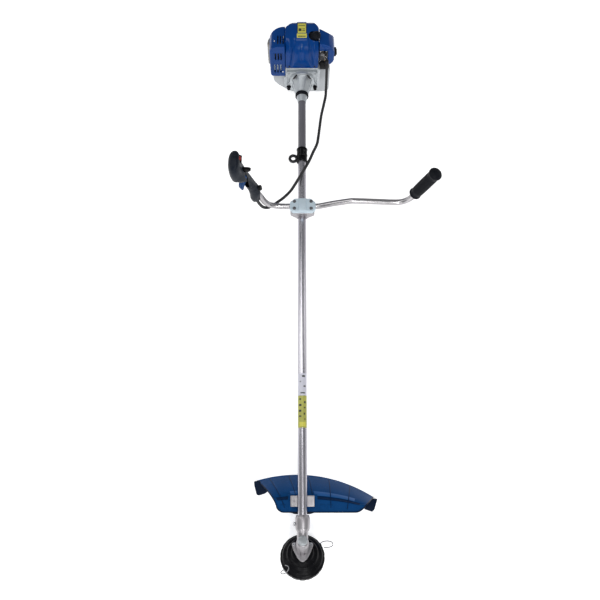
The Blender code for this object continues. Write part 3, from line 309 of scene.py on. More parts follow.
def evaluated(obj, *used_up):
    """The mesh of an object after its modifiers; the object and the others are removed."""
    graph = bpy.context.evaluated_depsgraph_get()
    result = bmesh.new()
    result.from_mesh(obj.evaluated_get(graph).to_mesh())
    for old in (obj, *used_up):
        mesh = old.data
        bpy.data.objects.remove(old)
        bpy.data.meshes.remove(mesh)
    return result


def combined(bm, others, operation):
    base = loose_object(bm)
    tools = [loose_object(other) for other in others]
    for tool in tools:
        modifier = base.modifiers.new("solid", "BOOLEAN")
        modifier.operation = operation
        modifier.object = tool
        modifier.solver = "EXACT"
    return evaluated(base, *tools)


def cut(bm, *others):
    return combined(bm, others, "DIFFERENCE")


def joined(bm, *others):
    return combined(bm, others, "UNION")


def eased(bm, width, segments=3, angle=35):
    """The mesh with its sharp edges rounded."""
    obj = loose_object(bm)
    modifier = obj.modifiers.new("edges", "BEVEL")
    modifier.width = width
    modifier.segments = segments
    modifier.limit_method = "ANGLE"
    modifier.angle_limit = math.radians(angle)
    return evaluated(obj)


def thickened(bm, wall):
    """A skin given a wall behind it."""
    bmesh.ops.recalc_face_normals(bm, faces=bm.faces)
    obj = loose_object(bm)
    modifier = obj.modifiers.new("wall", "SOLIDIFY")
    modifier.thickness = wall
    modifier.offset = -1
    return evaluated(obj)


def turned(profile, sides=48, ripple=None):
    """A turned solid about Z from a closed profile of (radius, height); ripple scales the radius."""
    bm = bmesh.new()
    loops = []
    for radius, height in profile:
        if radius == 0:
            loops.append([bm.verts.new((0, 0, height))])
            continue
        loop = []
        for k in range(sides):
            a = 2 * math.pi * k / sides
            r = radius * (ripple(a, height) if ripple else 1)
            loop.append(bm.verts.new((r * math.cos(a), r * math.sin(a), height)))
        loops.append(loop)
    for low, high in zip(loops, loops[1:] + loops[:1]):
        if len(low) == len(high) == 1:
            continue
        for k in range(sides):
            corners = [
                low[k % len(low)], low[(k + 1) % len(low)], high[(k + 1) % len(high)], high[k % len(high)]
            ]
            bm.faces.new(list(dict.fromkeys(corners)))
    return bm


def cylinder(radius, low, high, sides=32):
    return turned([(0, low), (radius, low), (radius, high), (0, high)], sides)


def ring(outer, inner, low, high, sides=48):
    return turned([(outer, low), (outer, high), (inner, high), (inner, low)], sides)


def prism(outline, low, high):
    """An outline in local X and Y, extruded along local Z."""
    bm = bmesh.new()
    base = [bm.verts.new((x, y, low)) for x, y in outline]
    top = [bm.verts.new((x, y, high)) for x, y in outline]
    bm.faces.new(base[::-1])
    bm.faces.new(top)
    for k in range(len(outline)):
        after = (k + 1) % len(outline)
        bm.faces.new([base[k], base[after], top[after], top[k]])
    return bm


def block(low, high):
    (x0, y0, z0), (x1, y1, z1) = low, high
    return prism([(x0, y0), (x1, y0), (x1, y1), (x0, y1)], z0, z1)


def arc(centre, radius, start, end, steps):
    """Points on an arc, angles in degrees."""
    angles = [math.radians(start + (end - start) * k / steps) for k in range(steps + 1)]
    return [(centre[0] + radius * math.cos(a), centre[1] + radius * math.sin(a)) for a in angles]


def rounded_outline(low, high, radii, steps=6):
    """A rectangle with a radius for each corner: low left, low right, high right, high left."""
    (x0, y0), (x1, y1) = low, high
    corners = [(x0, y0, 1, 1, 180), (x1, y0, -1, 1, 270), (x1, y1, -1, -1, 0), (x0, y1, 1, -1, 90)]
    points = []
    for (x, y, sx, sy, start), radius in zip(corners, radii):
        points += arc((x + sx * radius, y + sy * radius), radius, start, start + 90, steps)
    return points


def smooth_path(points, per_span):
    """Points on the Catmull-Rom curve through the given ones."""
    points = [Vector(p) for p in points]
    ends = [2 * points[0] - points[1]] + points + [2 * points[-1] - points[-2]]
    path = []
    for k in range(len(points) - 1):
        a, b, c, d = ends[k : k + 4]
        for step in range(per_span):
            t = step / per_span
            bend = (2 * a - 5 * b + 4 * c - d) * t * t + (3 * b - a - 3 * c + d) * t**3
            path.append((2 * b + (c - a) * t + bend) / 2)
    return path + [points[-1]]


def frames_along(path, side=(0, 1, 0)):
    """For each point of a path, two unit vectors across it, carried along without twist."""
    frames = []
    across = None
    for k, point in enumerate(path):
        along = (path[min(k + 1, len(path) - 1)] - path[max(k - 1, 0)]).normalized()
        start = along.cross(Vector(side)) if across is None else across
        across = (start - along * start.dot(along)).normalized()
        frames.append((point, across.cross(along).normalized(), across))
    return frames


def skinned(loops, closed_ends=True):
    """A solid through loops of equal length; without closed ends the last loop meets the first."""
    bm = bmesh.new()
    rows = [[bm.verts.new(p) for p in loop] for loop in loops]
    count = len(rows[0])
    pairs = list(zip(rows, rows[1:]))
    if not closed_ends:
        pairs.append((rows[-1], rows[0]))
    for low, high in pairs:
        for k in range(count):
            after = (k + 1) % count
            bm.faces.new([low[k], low[after], high[after], high[k]])
    if closed_ends:
        bm.faces.new(rows[0][::-1])
        bm.faces.new(rows[-1])
    return bm


def circles(path, radii, sides):
    angles = [2 * math.pi * k / sides for k in range(sides)]
    loops = []
    for (p, u, v), radius in zip(frames_along(path), radii):
        loops.append([p + radius * (math.cos(a) * u + math.sin(a) * v) for a in angles])
    return loops


def rod(points, radius, sides=16, per_span=6):
    path = smooth_path(points, per_span)
    return skinned(circles(path, [radius] * len(path), sides))


def facing_y(bm):
    """Turns a solid drawn in X and Y so that its outline lies in X and Z and its length along Y."""
    for vert in bm.verts:
        vert.co = (vert.co.x, vert.co.z, vert.co.y)
    return bm


def facing_x(bm):
    """Turns a solid drawn in X and Y so that its outline lies in Y and Z and its length along X."""
    for vert in bm.verts:
        vert.co = (vert.co.z, vert.co.x, vert.co.y)
    return bm


def slab(low, high, width, *edges):
    """A block with rounded edges."""
    return eased(block(low, high), width, *edges)


def plate(outline, front, rear, width, *edges):
    """An outline in X and Z between two places along Y, with rounded edges."""
    return eased(facing_y(prism(outline, front, rear)), width, *edges)


def along(bm):
    """A solid made about local Z, laid along the shaft."""
    return moved(bm, axis=ALONG)


def on_head(bm):
    """A solid made about local Z, set on the output axis of the gear head."""
    return moved(bm, GEAR_CENTRE, HEAD_AXIS)


def step(low, high, value):
    """Smooth step from 0 at low to 1 at high."""
    t = min(1.0, max(0.0, (value - low) / (high - low)))
    return t * t * (3 - 2 * t)


def piece(name, bm, look, body="root", replaces=(), angle=32):
    """A finished piece of one solid or a list of them, riding on a body and standing for CAD nodes."""
    if isinstance(bm, list):
        bm = merged(*bm)
    bmesh.ops.remove_doubles(bm, verts=bm.verts, dist=0.000001)
    bmesh.ops.recalc_face_normals(bm, faces=bm.faces)
    bm.transform(SHAFT)
    mesh = bpy.data.meshes.new(name)
    bm.to_mesh(mesh)
    bm.free()
    mesh.shade_smooth()
    mesh.set_sharp_from_angle(angle=math.radians(angle))
    obj = bpy.data.objects.new(name, mesh)
    bpy.context.scene.collection.objects.link(obj)
    material, slot = LOOKS[look]
    mesh.materials.append(material)
    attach(obj, body)
    if replaces:
        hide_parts(*replaces)
    return obj


# ---- fasteners ----
def socket_screw(at, axis, radius=0.004, height=0.004):
    """A cap screw: a rounded head standing on the point, with a round socket, over a thin washer."""
    r, h = radius, height
    washer = turned([(0, 0), (r * 1.35, 0), (r * 1.35, 0.0008), (0, 0.0008)], 28)
    head = [
        (0, h * 0.45), (r * 0.52, h * 0.45), (r * 0.52, h * 0.98), (r * 0.62, h), (r * 0.86, h),
        (r, h * 0.86), (r, 0.0007), (0, 0.0007)
    ]
    return moved(merged(washer, turned(head, 24)), at, axis)


def hex_bolt(at, axis, radius=0.0045, height=0.0035):
    """A hexagon-headed bolt on a washer."""
    r, h = radius, height
    washer = turned([(0, 0), (r * 1.45, 0), (r * 1.45, 0.0008), (0, 0.0008)], 28)
    head = turned([(0, 0.0007), (r * 0.98, 0.0007), (r * 1.05, h * 0.25), (r * 1.05, h * 0.8), (r * 0.9, h),
                   (0, h)], 6)
    return moved(merged(washer, head), at, axis)


def cross_screw(at, axis, radius=0.004):
    """A pan-headed screw with a cross slot."""
    r = radius
    profile = [(0, -0.001), (r, -0.001), (r, 0.0006), (r * 0.85, 0.0016), (r * 0.5, 0.0023), (0, 0.0025)]
    head = turned(profile, 24)
    slots = [block((-r * 0.6, -r * 0.13, 0.0013), (r * 0.6, r * 0.13, 0.004))]
    slots.append(block((-r * 0.13, -r * 0.6, 0.0013), (r * 0.13, r * 0.6, 0.004)))
    return moved(cut(head, *slots), at, axis)


# ---- trimmer line: two free cord ends ----
LINE_R = 0.0013
# From its eyelet to its free end: along X, rearwards in the head's plane, up the output axis
LINE_RIGHT = [
    (0.0507, 0.038, -0.069), (0.0552, 0.0411, -0.069), (0.0626, 0.0438, -0.069), (0.0734, 0.0444, -0.069),
    (0.0827, 0.0415, -0.069), (0.0863, 0.035, -0.069), (0.0821, 0.029, -0.069), (0.0747, 0.0267, -0.069),
    (0.069, 0.0262, -0.069), (0.0642, 0.0262, -0.069), (0.0598, 0.0268, -0.069)
]
LINE_LEFT = [
    (-0.0524, -0.0356, -0.069), (-0.0566, -0.0388, -0.0688), (-0.059, -0.0435, -0.0668),
    (-0.0565, -0.0482, -0.063), (-0.0505, -0.05, -0.059), (-0.0435, -0.048, -0.055),
    (-0.0385, -0.043, -0.051), (-0.0375, -0.0378, -0.0485), (-0.0415, -0.0338, -0.047),
    (-0.0475, -0.033, -0.046)
]


def build_line_end(node, route):
    rearwards = Vector((0, HEAD_AXIS.z, -HEAD_AXIS.y))
    points = [GEAR_CENTRE + Vector((x, 0, 0)) + rearwards * b + HEAD_AXIS * t for x, b, t in route]
    path = [ORIGIN + p for p in smooth_path(points, 3)]
    curve = bpy.data.curves.new(node + "_strand", "CURVE")
    curve.dimensions = "3D"
    curve.bevel_depth = LINE_R
    curve.bevel_resolution = 4
    curve.use_fill_caps = True
    spline = curve.splines.new("POLY")
    spline.points.add(len(path) - 1)
    for point, place in zip(spline.points, path):
        point.co = (*place, 1)
    spline.use_smooth = True
    obj = bpy.data.objects.new(node + "_strand", curve)
    bpy.context.scene.collection.objects.link(obj)
    curve.materials.append(LOOKS["line"][0])
    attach(obj, "cutter")
    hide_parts(node)


# ---- shaft, labels, collar, harness clamp ----
SLEEVE_Y = (0.5475, 0.7405)
COLLAR_Y = 0.7645
WHITE_LABEL_Y = (-0.297, -0.232)
YELLOW_LABEL_Y = (-0.389, -0.2975)
HARNESS_Y = 0.522
EYE = Vector((-0.03, 0.5105, 0))


def wrap(outline, radius, thickness, steps=8):
    """A thin patch wrapped on the tube: x is the angle from the top in degrees, and y runs along."""
    (a0, y0), (a1, y1) = outline
    loops = []
    for k in range(steps + 1):
        a = math.radians(90 - a0 - (a1 - a0) * k / steps)
        inner = (radius * math.cos(a), radius * math.sin(a))
        outer = ((radius + thickness) * math.cos(a), (radius + thickness) * math.sin(a))
        loops.append([(inner[0], y0, inner[1]), (outer[0], y0, outer[1])] + [(outer[0], y1, outer[1]),
                (inner[0], y1, inner[1])])
    return skinned([[Vector(p) for p in loop] for loop in loops])


def build_shaft():
    inner = TUBE_R - 0.0016
    tube = [(inner, TUBE_FRONT), (TUBE_R - 0.0004, TUBE_FRONT), (TUBE_R, TUBE_FRONT + 0.0006)]
    stations = 24
    tube += [(TUBE_R, TUBE_FRONT + (TUBE_REAR - TUBE_FRONT) * k / stations) for k in range(1, stations)]
    tube += [(TUBE_R, TUBE_REAR - 0.0006), (TUBE_R - 0.0004, TUBE_REAR), (inner, TUBE_REAR)]
    piece("main_tube", along(turned(tube, 64)), "tube", replaces=["shaft_tube"])
    y0, y1 = SLEEVE_Y
    sleeve = [
        (TUBE_R, y0), (TUBE_R + 0.0004, y0 + 0.0004), (TUBE_R + 0.0004, y1 - 0.0004), (TUBE_R, y1),
        (TUBE_R - 0.0001, y1), (TUBE_R - 0.0001, y0)
    ]
    piece("tube_sleeve", along(turned(sleeve, 64)), "sleeve")
    for name, look, (y0, y1) in (("white_label", "white_label", WHITE_LABEL_Y),
                                 ("yellow_label", "olive_label", YELLOW_LABEL_Y)):
        piece(name, wrap([(-165, y0), (165, y1)], TUBE_R, 0.00015, 60), look)
    marks = []
    for a, y, wide, long in ((16, -0.243, 40, 0.0052), (6, -0.2915, 62, 0.0036), (30, -0.272, 30, 0.004),
                             (-26, -0.258, 14, 0.003)):
        marks.append(wrap([(a - wide / 2, y), (a + wide / 2, y + long)], TUBE_R + 0.0001, 0.00015))
    for k, (a, wide, long) in enumerate(((-30, 24, 0.005), (34, 26, 0.006), (-30, 38, 0.006), (32, 22, 0.004),
            (-32, 36, 0.006), (26, 18, 0.006), (-32, 36, 0.004), (34, 16, 0.004))):
        y = YELLOW_LABEL_Y[1] - 0.008 - 0.0082 * k
        marks.append(wrap([(a - wide / 2, y - long), (a + wide / 2, y)], TUBE_R + 0.0001, 0.00015))
    piece("label_marks", marks, "ink")
    panel = wrap([(-40, YELLOW_LABEL_Y[0] + 0.004), (44, YELLOW_LABEL_Y[0] + 0.016)], TUBE_R + 0.0001,
                 0.00012)
    piece("label_panel", panel, "yellow_label")


def build_collar():
    neck = [
        (0.0133, 0.741), (0.0146, 0.741), (0.015, 0.7418), (0.0158, 0.748), (0.0176, 0.756), (0.0192, 0.7625),
        (0.0192, 0.764), (0.0133, 0.764)
    ]
    piece("collar_neck", along(turned(neck)), "cast", replaces=["shaft_collar"])
    rubber = [
        (0.0133, COLLAR_Y), (0.0205, COLLAR_Y), (0.0228, 0.7652), (0.0235, 0.7668), (0.0232, 0.7684),
        (0.0224, 0.7692), (0.0234, 0.7702), (0.0236, 0.7722), (0.0233, 0.7738), (0.0226, 0.7746),
        (0.0232, 0.7752), (0.0228, 0.7762), (0.0215, 0.7766), (0.0133, 0.7766)
    ]
    piece("rubber_ring", along(turned(rubber, 64)), "rubber")


def build_harness_clamp():
    halves = []
    for side in (1, -1):
        shell = ring(0.0176, TUBE_R + 0.0002, -0.0248, 0.0248, 64)
        keep = block((-0.03, 0.0004, -0.03), (0.03, 0.03, 0.03))
        for vert in keep.verts:
            vert.co.y *= side
        shell = combined(shell, [keep], "INTERSECT")
        halves.append(shell)
    shell = moved(merged(*halves), (0, HARNESS_Y, 0), ALONG)
    ribs = [moved(ring(0.0186, 0.017, y - 0.0016, y + 0.0016, 64), (0, HARNESS_Y, 0), ALONG)
            for y in (-0.023, 0.0, 0.023)]
    lug = slab((-0.0056, HARNESS_Y - 0.012, 0.0165), (0.0056, HARNESS_Y + 0.012, 0.0268), 0.0016)
    web = slab((-0.021, 0.5035, -0.0032), (-0.016, 0.5175, 0.0032), 0.001)
    piece("harness_band", [shell, *ribs, lug, web], "black", replaces=["harness_clamp"])
    eye = [
        (0.007, -0.0018), (0.0078, -0.0032), (0.01, -0.0036), (0.014, -0.0036), (0.016, -0.0028),
        (0.0167, 0.0), (0.016, 0.0028), (0.014, 0.0036), (0.01, 0.0036), (0.0078, 0.0032), (0.007, 0.0018)
    ]
    piece("harness_eye", moved(turned(eye[::-1], 48), EYE), "black_oxide")
    screws = [socket_screw((0.0058, HARNESS_Y + y, 0.0215), RIGHT, 0.0032, 0.003) for y in (-0.0065, 0.0065)]
    screws += [hex_bolt((-0.0058, HARNESS_Y + y, 0.0215), (-1, 0, 0), 0.003, 0.0026)
               for y in (-0.0065, 0.0065)]
    piece("harness_screws", screws, "black_oxide")


# ---- handlebar, bracket, grip ----
BAR_Y = 0.311
BAR_Z = 0.031
BAR_R = 0.009
BAR_WALL = 0.0015
# Routes of the two bars, (x, z), outwards from the bracket
RIGHT_BAR = [
    (0.004, 0.031), (0.022, 0.031), (0.041, 0.031), (0.058, 0.033), (0.095, 0.0475), (0.15, 0.065),
    (0.168, 0.0668), (0.23, 0.0625), (0.297, 0.058), (0.323, 0.064), (0.341, 0.085), (0.351, 0.116),
    (0.369, 0.17), (0.385, 0.218)
]
LEFT_BAR = [
    (-0.004, 0.031), (-0.022, 0.031), (-0.041, 0.031), (-0.066, 0.0316), (-0.088, 0.035), (-0.107, 0.044),
    (-0.12, 0.064), (-0.1285, 0.09), (-0.1395, 0.118), (-0.15, 0.156)
]
GRIP_START = Vector((0.3492, BAR_Y, 0.1105))
GRIP_WAY = Vector((0.316, 0, 0.949)).normalized()


def build_bars():
    for node, route in (("right_bar", RIGHT_BAR), ("left_bar", LEFT_BAR)):
        path = smooth_path([(x, BAR_Y, z) for x, z in route], 8)
        outer = circles(path, [BAR_R] * len(path), 40)
        inner = circles(path, [BAR_R - BAR_WALL] * len(path), 40)
        piece(node + "_bent", skinned(outer + inner[::-1], False), "bar", replaces=[node])


def build_grip():
    profile = [
        (0.0112, 0.0), (0.018, 0.0), (0.0194, 0.0012), (0.0197, 0.0035), (0.019, 0.0056), (0.0174, 0.0082),
        (0.0171, 0.01), (0.0178, 0.015), (0.0182, 0.019)
    ]
    for k in range(14):
        z = 0.022 + 0.0058 * k
        swell = 0.0184 + 0.0003 * math.sin(k / 13 * math.pi)
        profile += [
            (swell, z), (swell, z + 0.0036), (swell - 0.0009, z + 0.0042), (swell - 0.0009, z + 0.0052)
        ]
    profile += [
        (0.018, 0.105), (0.0178, 0.111), (0.0186, 0.114), (0.0203, 0.1168), (0.0206, 0.119), (0.0202, 0.1215),
        (0.018, 0.1246), (0.015, 0.1274), (0.011, 0.1294), (0.006, 0.1306), (0, 0.131), (0, 0.125),
        (0.0112, 0.125)
    ]

    def flutes(angle, height):
        return 1 - 0.016 * (0.02 < height < 0.104) * max(0.0, math.cos(12 * angle)) ** 4

    piece("rubber_grip", moved(turned(profile, 96, flutes), GRIP_START, GRIP_WAY), "rubber",
          replaces=["right_grip"])


def bar_room():
    """The way for the two bars through the bracket."""
    return moved(cylinder(BAR_R + GAP, -0.06, 0.06, 48), (0.002, BAR_Y, BAR_Z), RIGHT)


def tube_room():
    """The way for the shaft tube through the bracket."""
    return along(cylinder(TUBE_R + GAP, 0.25, 0.37, 64))


def build_bracket():
    y0, y1 = 0.285, 0.331
    x0, x1, chamfer = -0.0395, 0.0435, 0.0095
    rear = 0.015
    top = [
        (x0 + chamfer, y0), (x1 - chamfer, y0), (x1, y0 + chamfer), (x1, y1 - rear), (x1 - rear, y1),
        (x0 + rear, y1), (x0, y1 - rear), (x0, y0 + chamfer)
    ]
    cap = eased(prism(top, BAR_Z + GAP, 0.0475), 0.0018)
    band = prism([(-0.0115, y0 + 0.001), (0.0125, y0 + 0.001), (0.0125, y1 - 0.001), (-0.0115, y1 - 0.001)],
                 0.04, 0.051)
    cap = joined(cap, eased(band, 0.0014))
    places = [(x, y) for x in (-0.025, 0.029) for y in (y0 + 0.0105, y1 - 0.0105)]
    wells = [moved(cylinder(0.0058, 0.0462, 0.06, 36), (x, y, 0)) for x, y in places]
    cap = cut(cap, bar_room(), *wells)
    piece("handlebar_cap", cap, "cast_light", replaces=["bracket_cap"])
    screws = [socket_screw((x, y, 0.0462), UP, 0.004, 0.0046) for x, y in places]
    piece("bracket_screws", screws, "dark_steel")
    middle = [
        (-0.0225, GAP), (0.0225, GAP), (0.04, 0.016), (0.04, BAR_Z - GAP), (-0.038, BAR_Z - GAP),
        (-0.038, 0.016)
    ]
    saddle = plate(middle, y0, y1, 0.0016)
    groove = block((-0.015, 0.27, 0.017), (0.015, y0 + 0.0012, 0.0275))
    saddle = cut(saddle, tube_room(), bar_room(), groove)
    # The saddle takes the darker gear_case finish rather than the cap's: painted shade under the cap.
    piece("handlebar_saddle", saddle, "gear_case", replaces=["bracket_middle"])
    outline = [
        (-0.0165, -0.021), (0.0165, -0.021), (0.0225, -0.008), (0.0225, -GAP), (-0.0225, -GAP),
        (-0.0225, -0.008)
    ]
    base = cut(plate(outline, y0 + 0.006, y1, 0.0016), tube_room())
    # The base's darker finish is painted shade too.
    piece("handlebar_base", base, "gear_case", replaces=["bracket_base"])
    nuts = [hex_bolt((x, y, -0.0212), (0, 0, -1), 0.0028, 0.0024) for x in (-0.012, 0.012)
            for y in (0.3, 0.322)]
    piece("bracket_nuts", nuts, "chrome")


# ---- throttle handle ----
# From foot to top: centre (x, y, z), half width across the bar, half depth along the shaft
HANDLE = [
    (-0.144, 0.3085, 0.093, 0.015, 0.0155), (-0.146, 0.309, 0.108, 0.0165, 0.0175),
    (-0.145, 0.31, 0.128, 0.0175, 0.018), (-0.149, 0.311, 0.148, 0.016, 0.017),
    (-0.156, 0.311, 0.17, 0.015, 0.0165), (-0.164, 0.31, 0.195, 0.0155, 0.017),
    (-0.173, 0.305, 0.22, 0.0175, 0.021), (-0.1825, 0.3, 0.243, 0.0208, 0.03),
    (-0.188, 0.3, 0.265, 0.0196, 0.0335), (-0.1895, 0.301, 0.285, 0.019, 0.0345),
    (-0.19, 0.3025, 0.3, 0.018, 0.033), (-0.1895, 0.3035, 0.312, 0.014, 0.026),
    (-0.1885, 0.304, 0.318, 0.003, 0.0034)
]
HANDLE_ACROSS = Vector((0.966, 0, 0.259))
HANDLE_WALL = 0.0025
TRIGGER_PIVOT = Vector((-0.1665, 0.295, 0.24))
TRIGGER_TURN = math.radians(45)
LOCK_PIVOT = Vector((-0.1665, 0.304, 0.26))
SWITCH_AT = Vector((-0.175, 0.313, 0.3025))
SWITCH_FACING = Vector((0.6, 0, 0.8))


def handle_stations(per_span=5):
    places = smooth_path([s[:3] for s in HANDLE], per_span)
    sizes = smooth_path([(s[3], s[4], 0) for s in HANDLE], per_span)
    return list(zip(places, sizes))


def handle_half(side):
    """Half of the throttle handle: side -1 faces the cutting head, +1 the engine."""
    loops = []
    outer = [math.radians(a) for a in range(0, 181, 9)]
    for centre, size in handle_stations():
        ribbed = 0.0005 * (0.15 < centre.z < 0.205) * (1 + math.sin(centre.z * 2 * math.pi / 0.007))
        loop = []
        for shrink, angles in ((0.0, outer), (HANDLE_WALL, outer[::-1])):
            for a in angles:
                seam = 0.0006 if min(a, math.pi - a) < 0.05 else 0.0
                pull = max(0.0004, 1 - (shrink + ribbed * abs(math.sin(a)) + seam) / max(0.003, size.x))
                wide = math.copysign(abs(math.cos(a)) ** 0.86, math.cos(a)) * size.x * pull
                deep = math.sin(a) ** 0.86 if math.sin(a) > 1e-9 else 0.0
                deep *= max(0.0004, size.y - shrink - ribbed)
                loop.append(centre + HANDLE_ACROSS * wide + Vector((0, side * (GAP / 2 + deep), 0)))
        loops.append(loop)
    return skinned(loops)


def handle_openings():
    bar_way = (Vector((-0.15, 0, 0.156)) - Vector((-0.1285, 0, 0.09))).normalized()
    openings = [moved(cylinder(BAR_R + GAP, -0.05, 0.05, 40), (-0.1394, BAR_Y, 0.1225), bar_way)]
    slot = block((-0.045, -0.008, -0.065), (0.007, 0.008, 0.0085))
    openings.append(moved(slot, TRIGGER_PIVOT, None, TRIGGER_TURN))
    openings.append(moved(block((-0.012, -0.0056, -0.012), (0.03, 0.0056, 0.0085)), LOCK_PIVOT))
    openings.append(moved(block((-0.0095, -0.0062, -0.008), (0.0095, 0.0062, 0.015)), SWITCH_AT,
            SWITCH_FACING))
    return openings


def build_handle():
    for name, node, side in (("handle_front", "throttle_shell_front", -1),
            ("handle_rear", "throttle_shell_rear", 1)):
        shell = cut(handle_half(side), *handle_openings())
        piece(name, shell, "handle", replaces=[node], angle=40)
    screws = []
    for x, z, y in ((-0.147, 0.128, 0.3275), (-0.189, 0.27, 0.332), (-0.164, 0.195, 0.3265)):
        screws.append(cross_screw((x, y, z), ALONG, 0.0032))
    piece("handle_screws", screws, "chrome")
    clip = turned([(0, -0.008), (0.0078, -0.008), (0.0086, -0.007), (0.0086, 0.005), (0.0074, 0.0072),
                   (0, 0.0078)], 32)
    slot = block((-0.006, -0.001, 0.0064), (0.006, 0.001, 0.01))
    piece("handle_clip", moved(cut(clip, slot), (-0.1312, BAR_Y, 0.146), (0.95, 0, 0.31)), "black")
    blade = [
        (0.002, 0.005), (-0.004, 0.006), (-0.01, -0.002), (-0.015, -0.01), (-0.018, -0.018),
        (-0.0205, -0.026), (-0.022, -0.034), (-0.0224, -0.041), (-0.0215, -0.047), (-0.0185, -0.0502),
        (-0.016, -0.05), (-0.0135, -0.046), (-0.0115, -0.04), (-0.007, -0.03), (-0.003, -0.022),
        (0.0035, -0.01)
    ]
    trigger = plate(blade, -0.0066, 0.0066, 0.0014, 3, 25)
    piece("trigger_blade", moved(trigger, TRIGGER_PIVOT, None, TRIGGER_TURN), "trigger_blue", "trigger",
          ["trigger"])
    lever = [
        (-0.003, -0.006), (0.004, -0.007), (0.01, -0.0085), (0.015, -0.006), (0.02, -0.0006),
        (0.0196, 0.0022), (0.012, 0.0056), (0.003, 0.0058), (-0.003, 0.0053)
    ]
    lever = plate(lever, -0.0047, 0.0047, 0.0012, 3, 25)
    piece("lockout_blade", moved(lever, LOCK_PIVOT), "black", "lockout", ["lockout_lever"])
    button = slab((-0.0055, -0.005, -0.0035), (0.0055, 0.005, 0.0024), 0.001)
    ribs = [slab((x - 0.0006, -0.0042, 0.002), (x + 0.0006, 0.0042, 0.003), 0.0003)
            for x in (-0.003, 0.0, 0.003)]
    piece("stop_button", moved(merged(button, *ribs), SWITCH_AT, SWITCH_FACING), "red", "stop_slider",
          ["stop_switch"])
    bezel = cut(slab((-0.0112, -0.008, -0.004), (0.0112, 0.008, 0.0006), 0.0008),
                block((-0.009, -0.006, -0.01), (0.009, 0.006, 0.01)))
    piece("switch_bezel", moved(bezel, SWITCH_AT, SWITCH_FACING), "black")


# ---- throttle cable ----
CABLE = [
    (0.0862, 0.858, 0.076), (0.0868, 0.85, 0.064), (0.0871, 0.8378, 0.05), (0.0868, 0.8175, 0.026),
    (0.0857, 0.7893, 0.008), (0.0835, 0.764, 0.002), (0.0751, 0.722, 0.001), (0.0668, 0.679, 0.002),
    (0.0573, 0.601, 0.007), (0.0512, 0.5611, 0.012), (0.0371, 0.5231, 0.018), (0.0254, 0.4914, 0.0215),
    (0.0122, 0.4629, 0.0235), (-0.0102, 0.4221, 0.0215), (-0.0238, 0.4001, 0.0165), (-0.0384, 0.3783, 0.0125),
    (-0.0597, 0.3552, 0.011), (-0.0826, 0.3365, 0.0105), (-0.0975, 0.3245, 0.0115), (-0.1115, 0.3152, 0.015),
    (-0.1256, 0.3091, 0.029), (-0.1344, 0.307, 0.05), (-0.1395, 0.3045, 0.072), (-0.1425, 0.302, 0.0925)
]
CABLE_R = 0.005
CABLE_PITCH = 0.0026


def even_steps(path, spacing):
    """Points at even distances along a path."""
    places = [path[0]]
    left = spacing
    for a, b in zip(path, path[1:]):
        span = (b - a).length
        at = left
        while at <= span:
            places.append(a.lerp(b, at / span))
            at += spacing
        left = at - span
    return places


def build_cable():
    path = even_steps(smooth_path(CABLE, 24), CABLE_PITCH / 4)
    radii = []
    for k in range(len(path)):
        radii.append(CABLE_R * (0.9, 1.0, 1.0, 0.93)[k % 4])
    obj = piece("corrugated_sleeve", skinned(circles(path, radii, 14)), "cable", replaces=["throttle_cable"],
                angle=60)
    way = (Vector(CABLE[0]) - Vector(CABLE[1])).normalized()
    cuff = [
        (0, -0.016), (0.0062, -0.016), (0.0068, -0.013), (0.0068, -0.002), (0.005, 0.0), (0.0032, 0.001),
        (0.0032, 0.009), (0.0018, 0.01), (0, 0.01)
    ]
    piece("cable_adjuster", moved(turned(cuff, 24), CABLE[0], way), "black_oxide")


# ---- guard ----
GUARD_ARC_CENTRE = (-0.016, -0.9555)
GUARD_ARC_R = 0.4414
GUARD_X = (-0.136, 0.212)
GUARD_FRONT_Y = -0.616
GUARD_FRONT_X = (-0.071, 0.172)
GUARD_SHEET = 0.0032
GUARD_CLAMP_Y = -0.587
GUARD_DROP = 0.0975
GUARD_FOLD = 0.42
GUARD_FLOOR = CAD_BOX[0].z - ORIGIN.z
RIB_PLACES = (0.1, 0.27, 0.44, 0.62, 0.8)


def guard_place(u, v):
    """A place on the guard's smooth top: u across from the left edge, v from the front lip to the rim."""
    cx, cy = GUARD_ARC_CENTRE
    rim_x = GUARD_X[0] + (GUARD_X[1] - GUARD_X[0]) * u
    rim = Vector((rim_x, cy + math.sqrt(GUARD_ARC_R**2 - (rim_x - cx) ** 2)))
    front = Vector((GUARD_FRONT_X[0] + (GUARD_FRONT_X[1] - GUARD_FRONT_X[0]) * u, GUARD_FRONT_Y))
    front.y += 0.01 * max(0.0, 1 - u / 0.07) ** 2 + 0.012 * max(0.0, (u - 0.9) / 0.1) ** 2
    place = front.lerp(rim, v)
    place.x += 4 * v * (1 - v) * (0.012 * (1 - u) ** 4 - 0.006 * u**4)
    z = -0.0215 - 0.006 * step(0.34, GUARD_FOLD, v)
    if v > GUARD_FOLD:
        fall = (v - GUARD_FOLD) / 0.58
        z -= GUARD_DROP * (0.25 * fall + 0.75 * fall**1.8)
    return Vector((place.x, place.y, z))


def guard_relief(u, v):
    """Ribs, a bead along the rim and a raised edge, in metres above the smooth face."""
    high = 0.0
    for place in RIB_PLACES:
        high = max(high, 0.0016 * (1 - step(0.0022, 0.0052, abs(u - place))) * step(0.1, 0.14, v))
    high = max(high, 0.0022 * (1 - step(0.01, 0.026, 1 - v)))
    high = max(high, 0.002 * (1 - step(0.012, 0.03, min(u, 1 - u))))
    return max(high, 0.0016 * (1 - step(0.02, 0.05, v)))


def guard_columns():
    """Values of u, closer together round the ribs and the edges."""
    values = {k / 48 for k in range(49)}
    for place in RIB_PLACES:
        values |= {place + d for d in (-0.0054, -0.004, -0.0022, 0.0, 0.0022, 0.004, 0.0054)}
    for d in (0.006, 0.012, 0.018, 0.024, 0.03):
        values |= {d, 1 - d}
    return sorted(values)


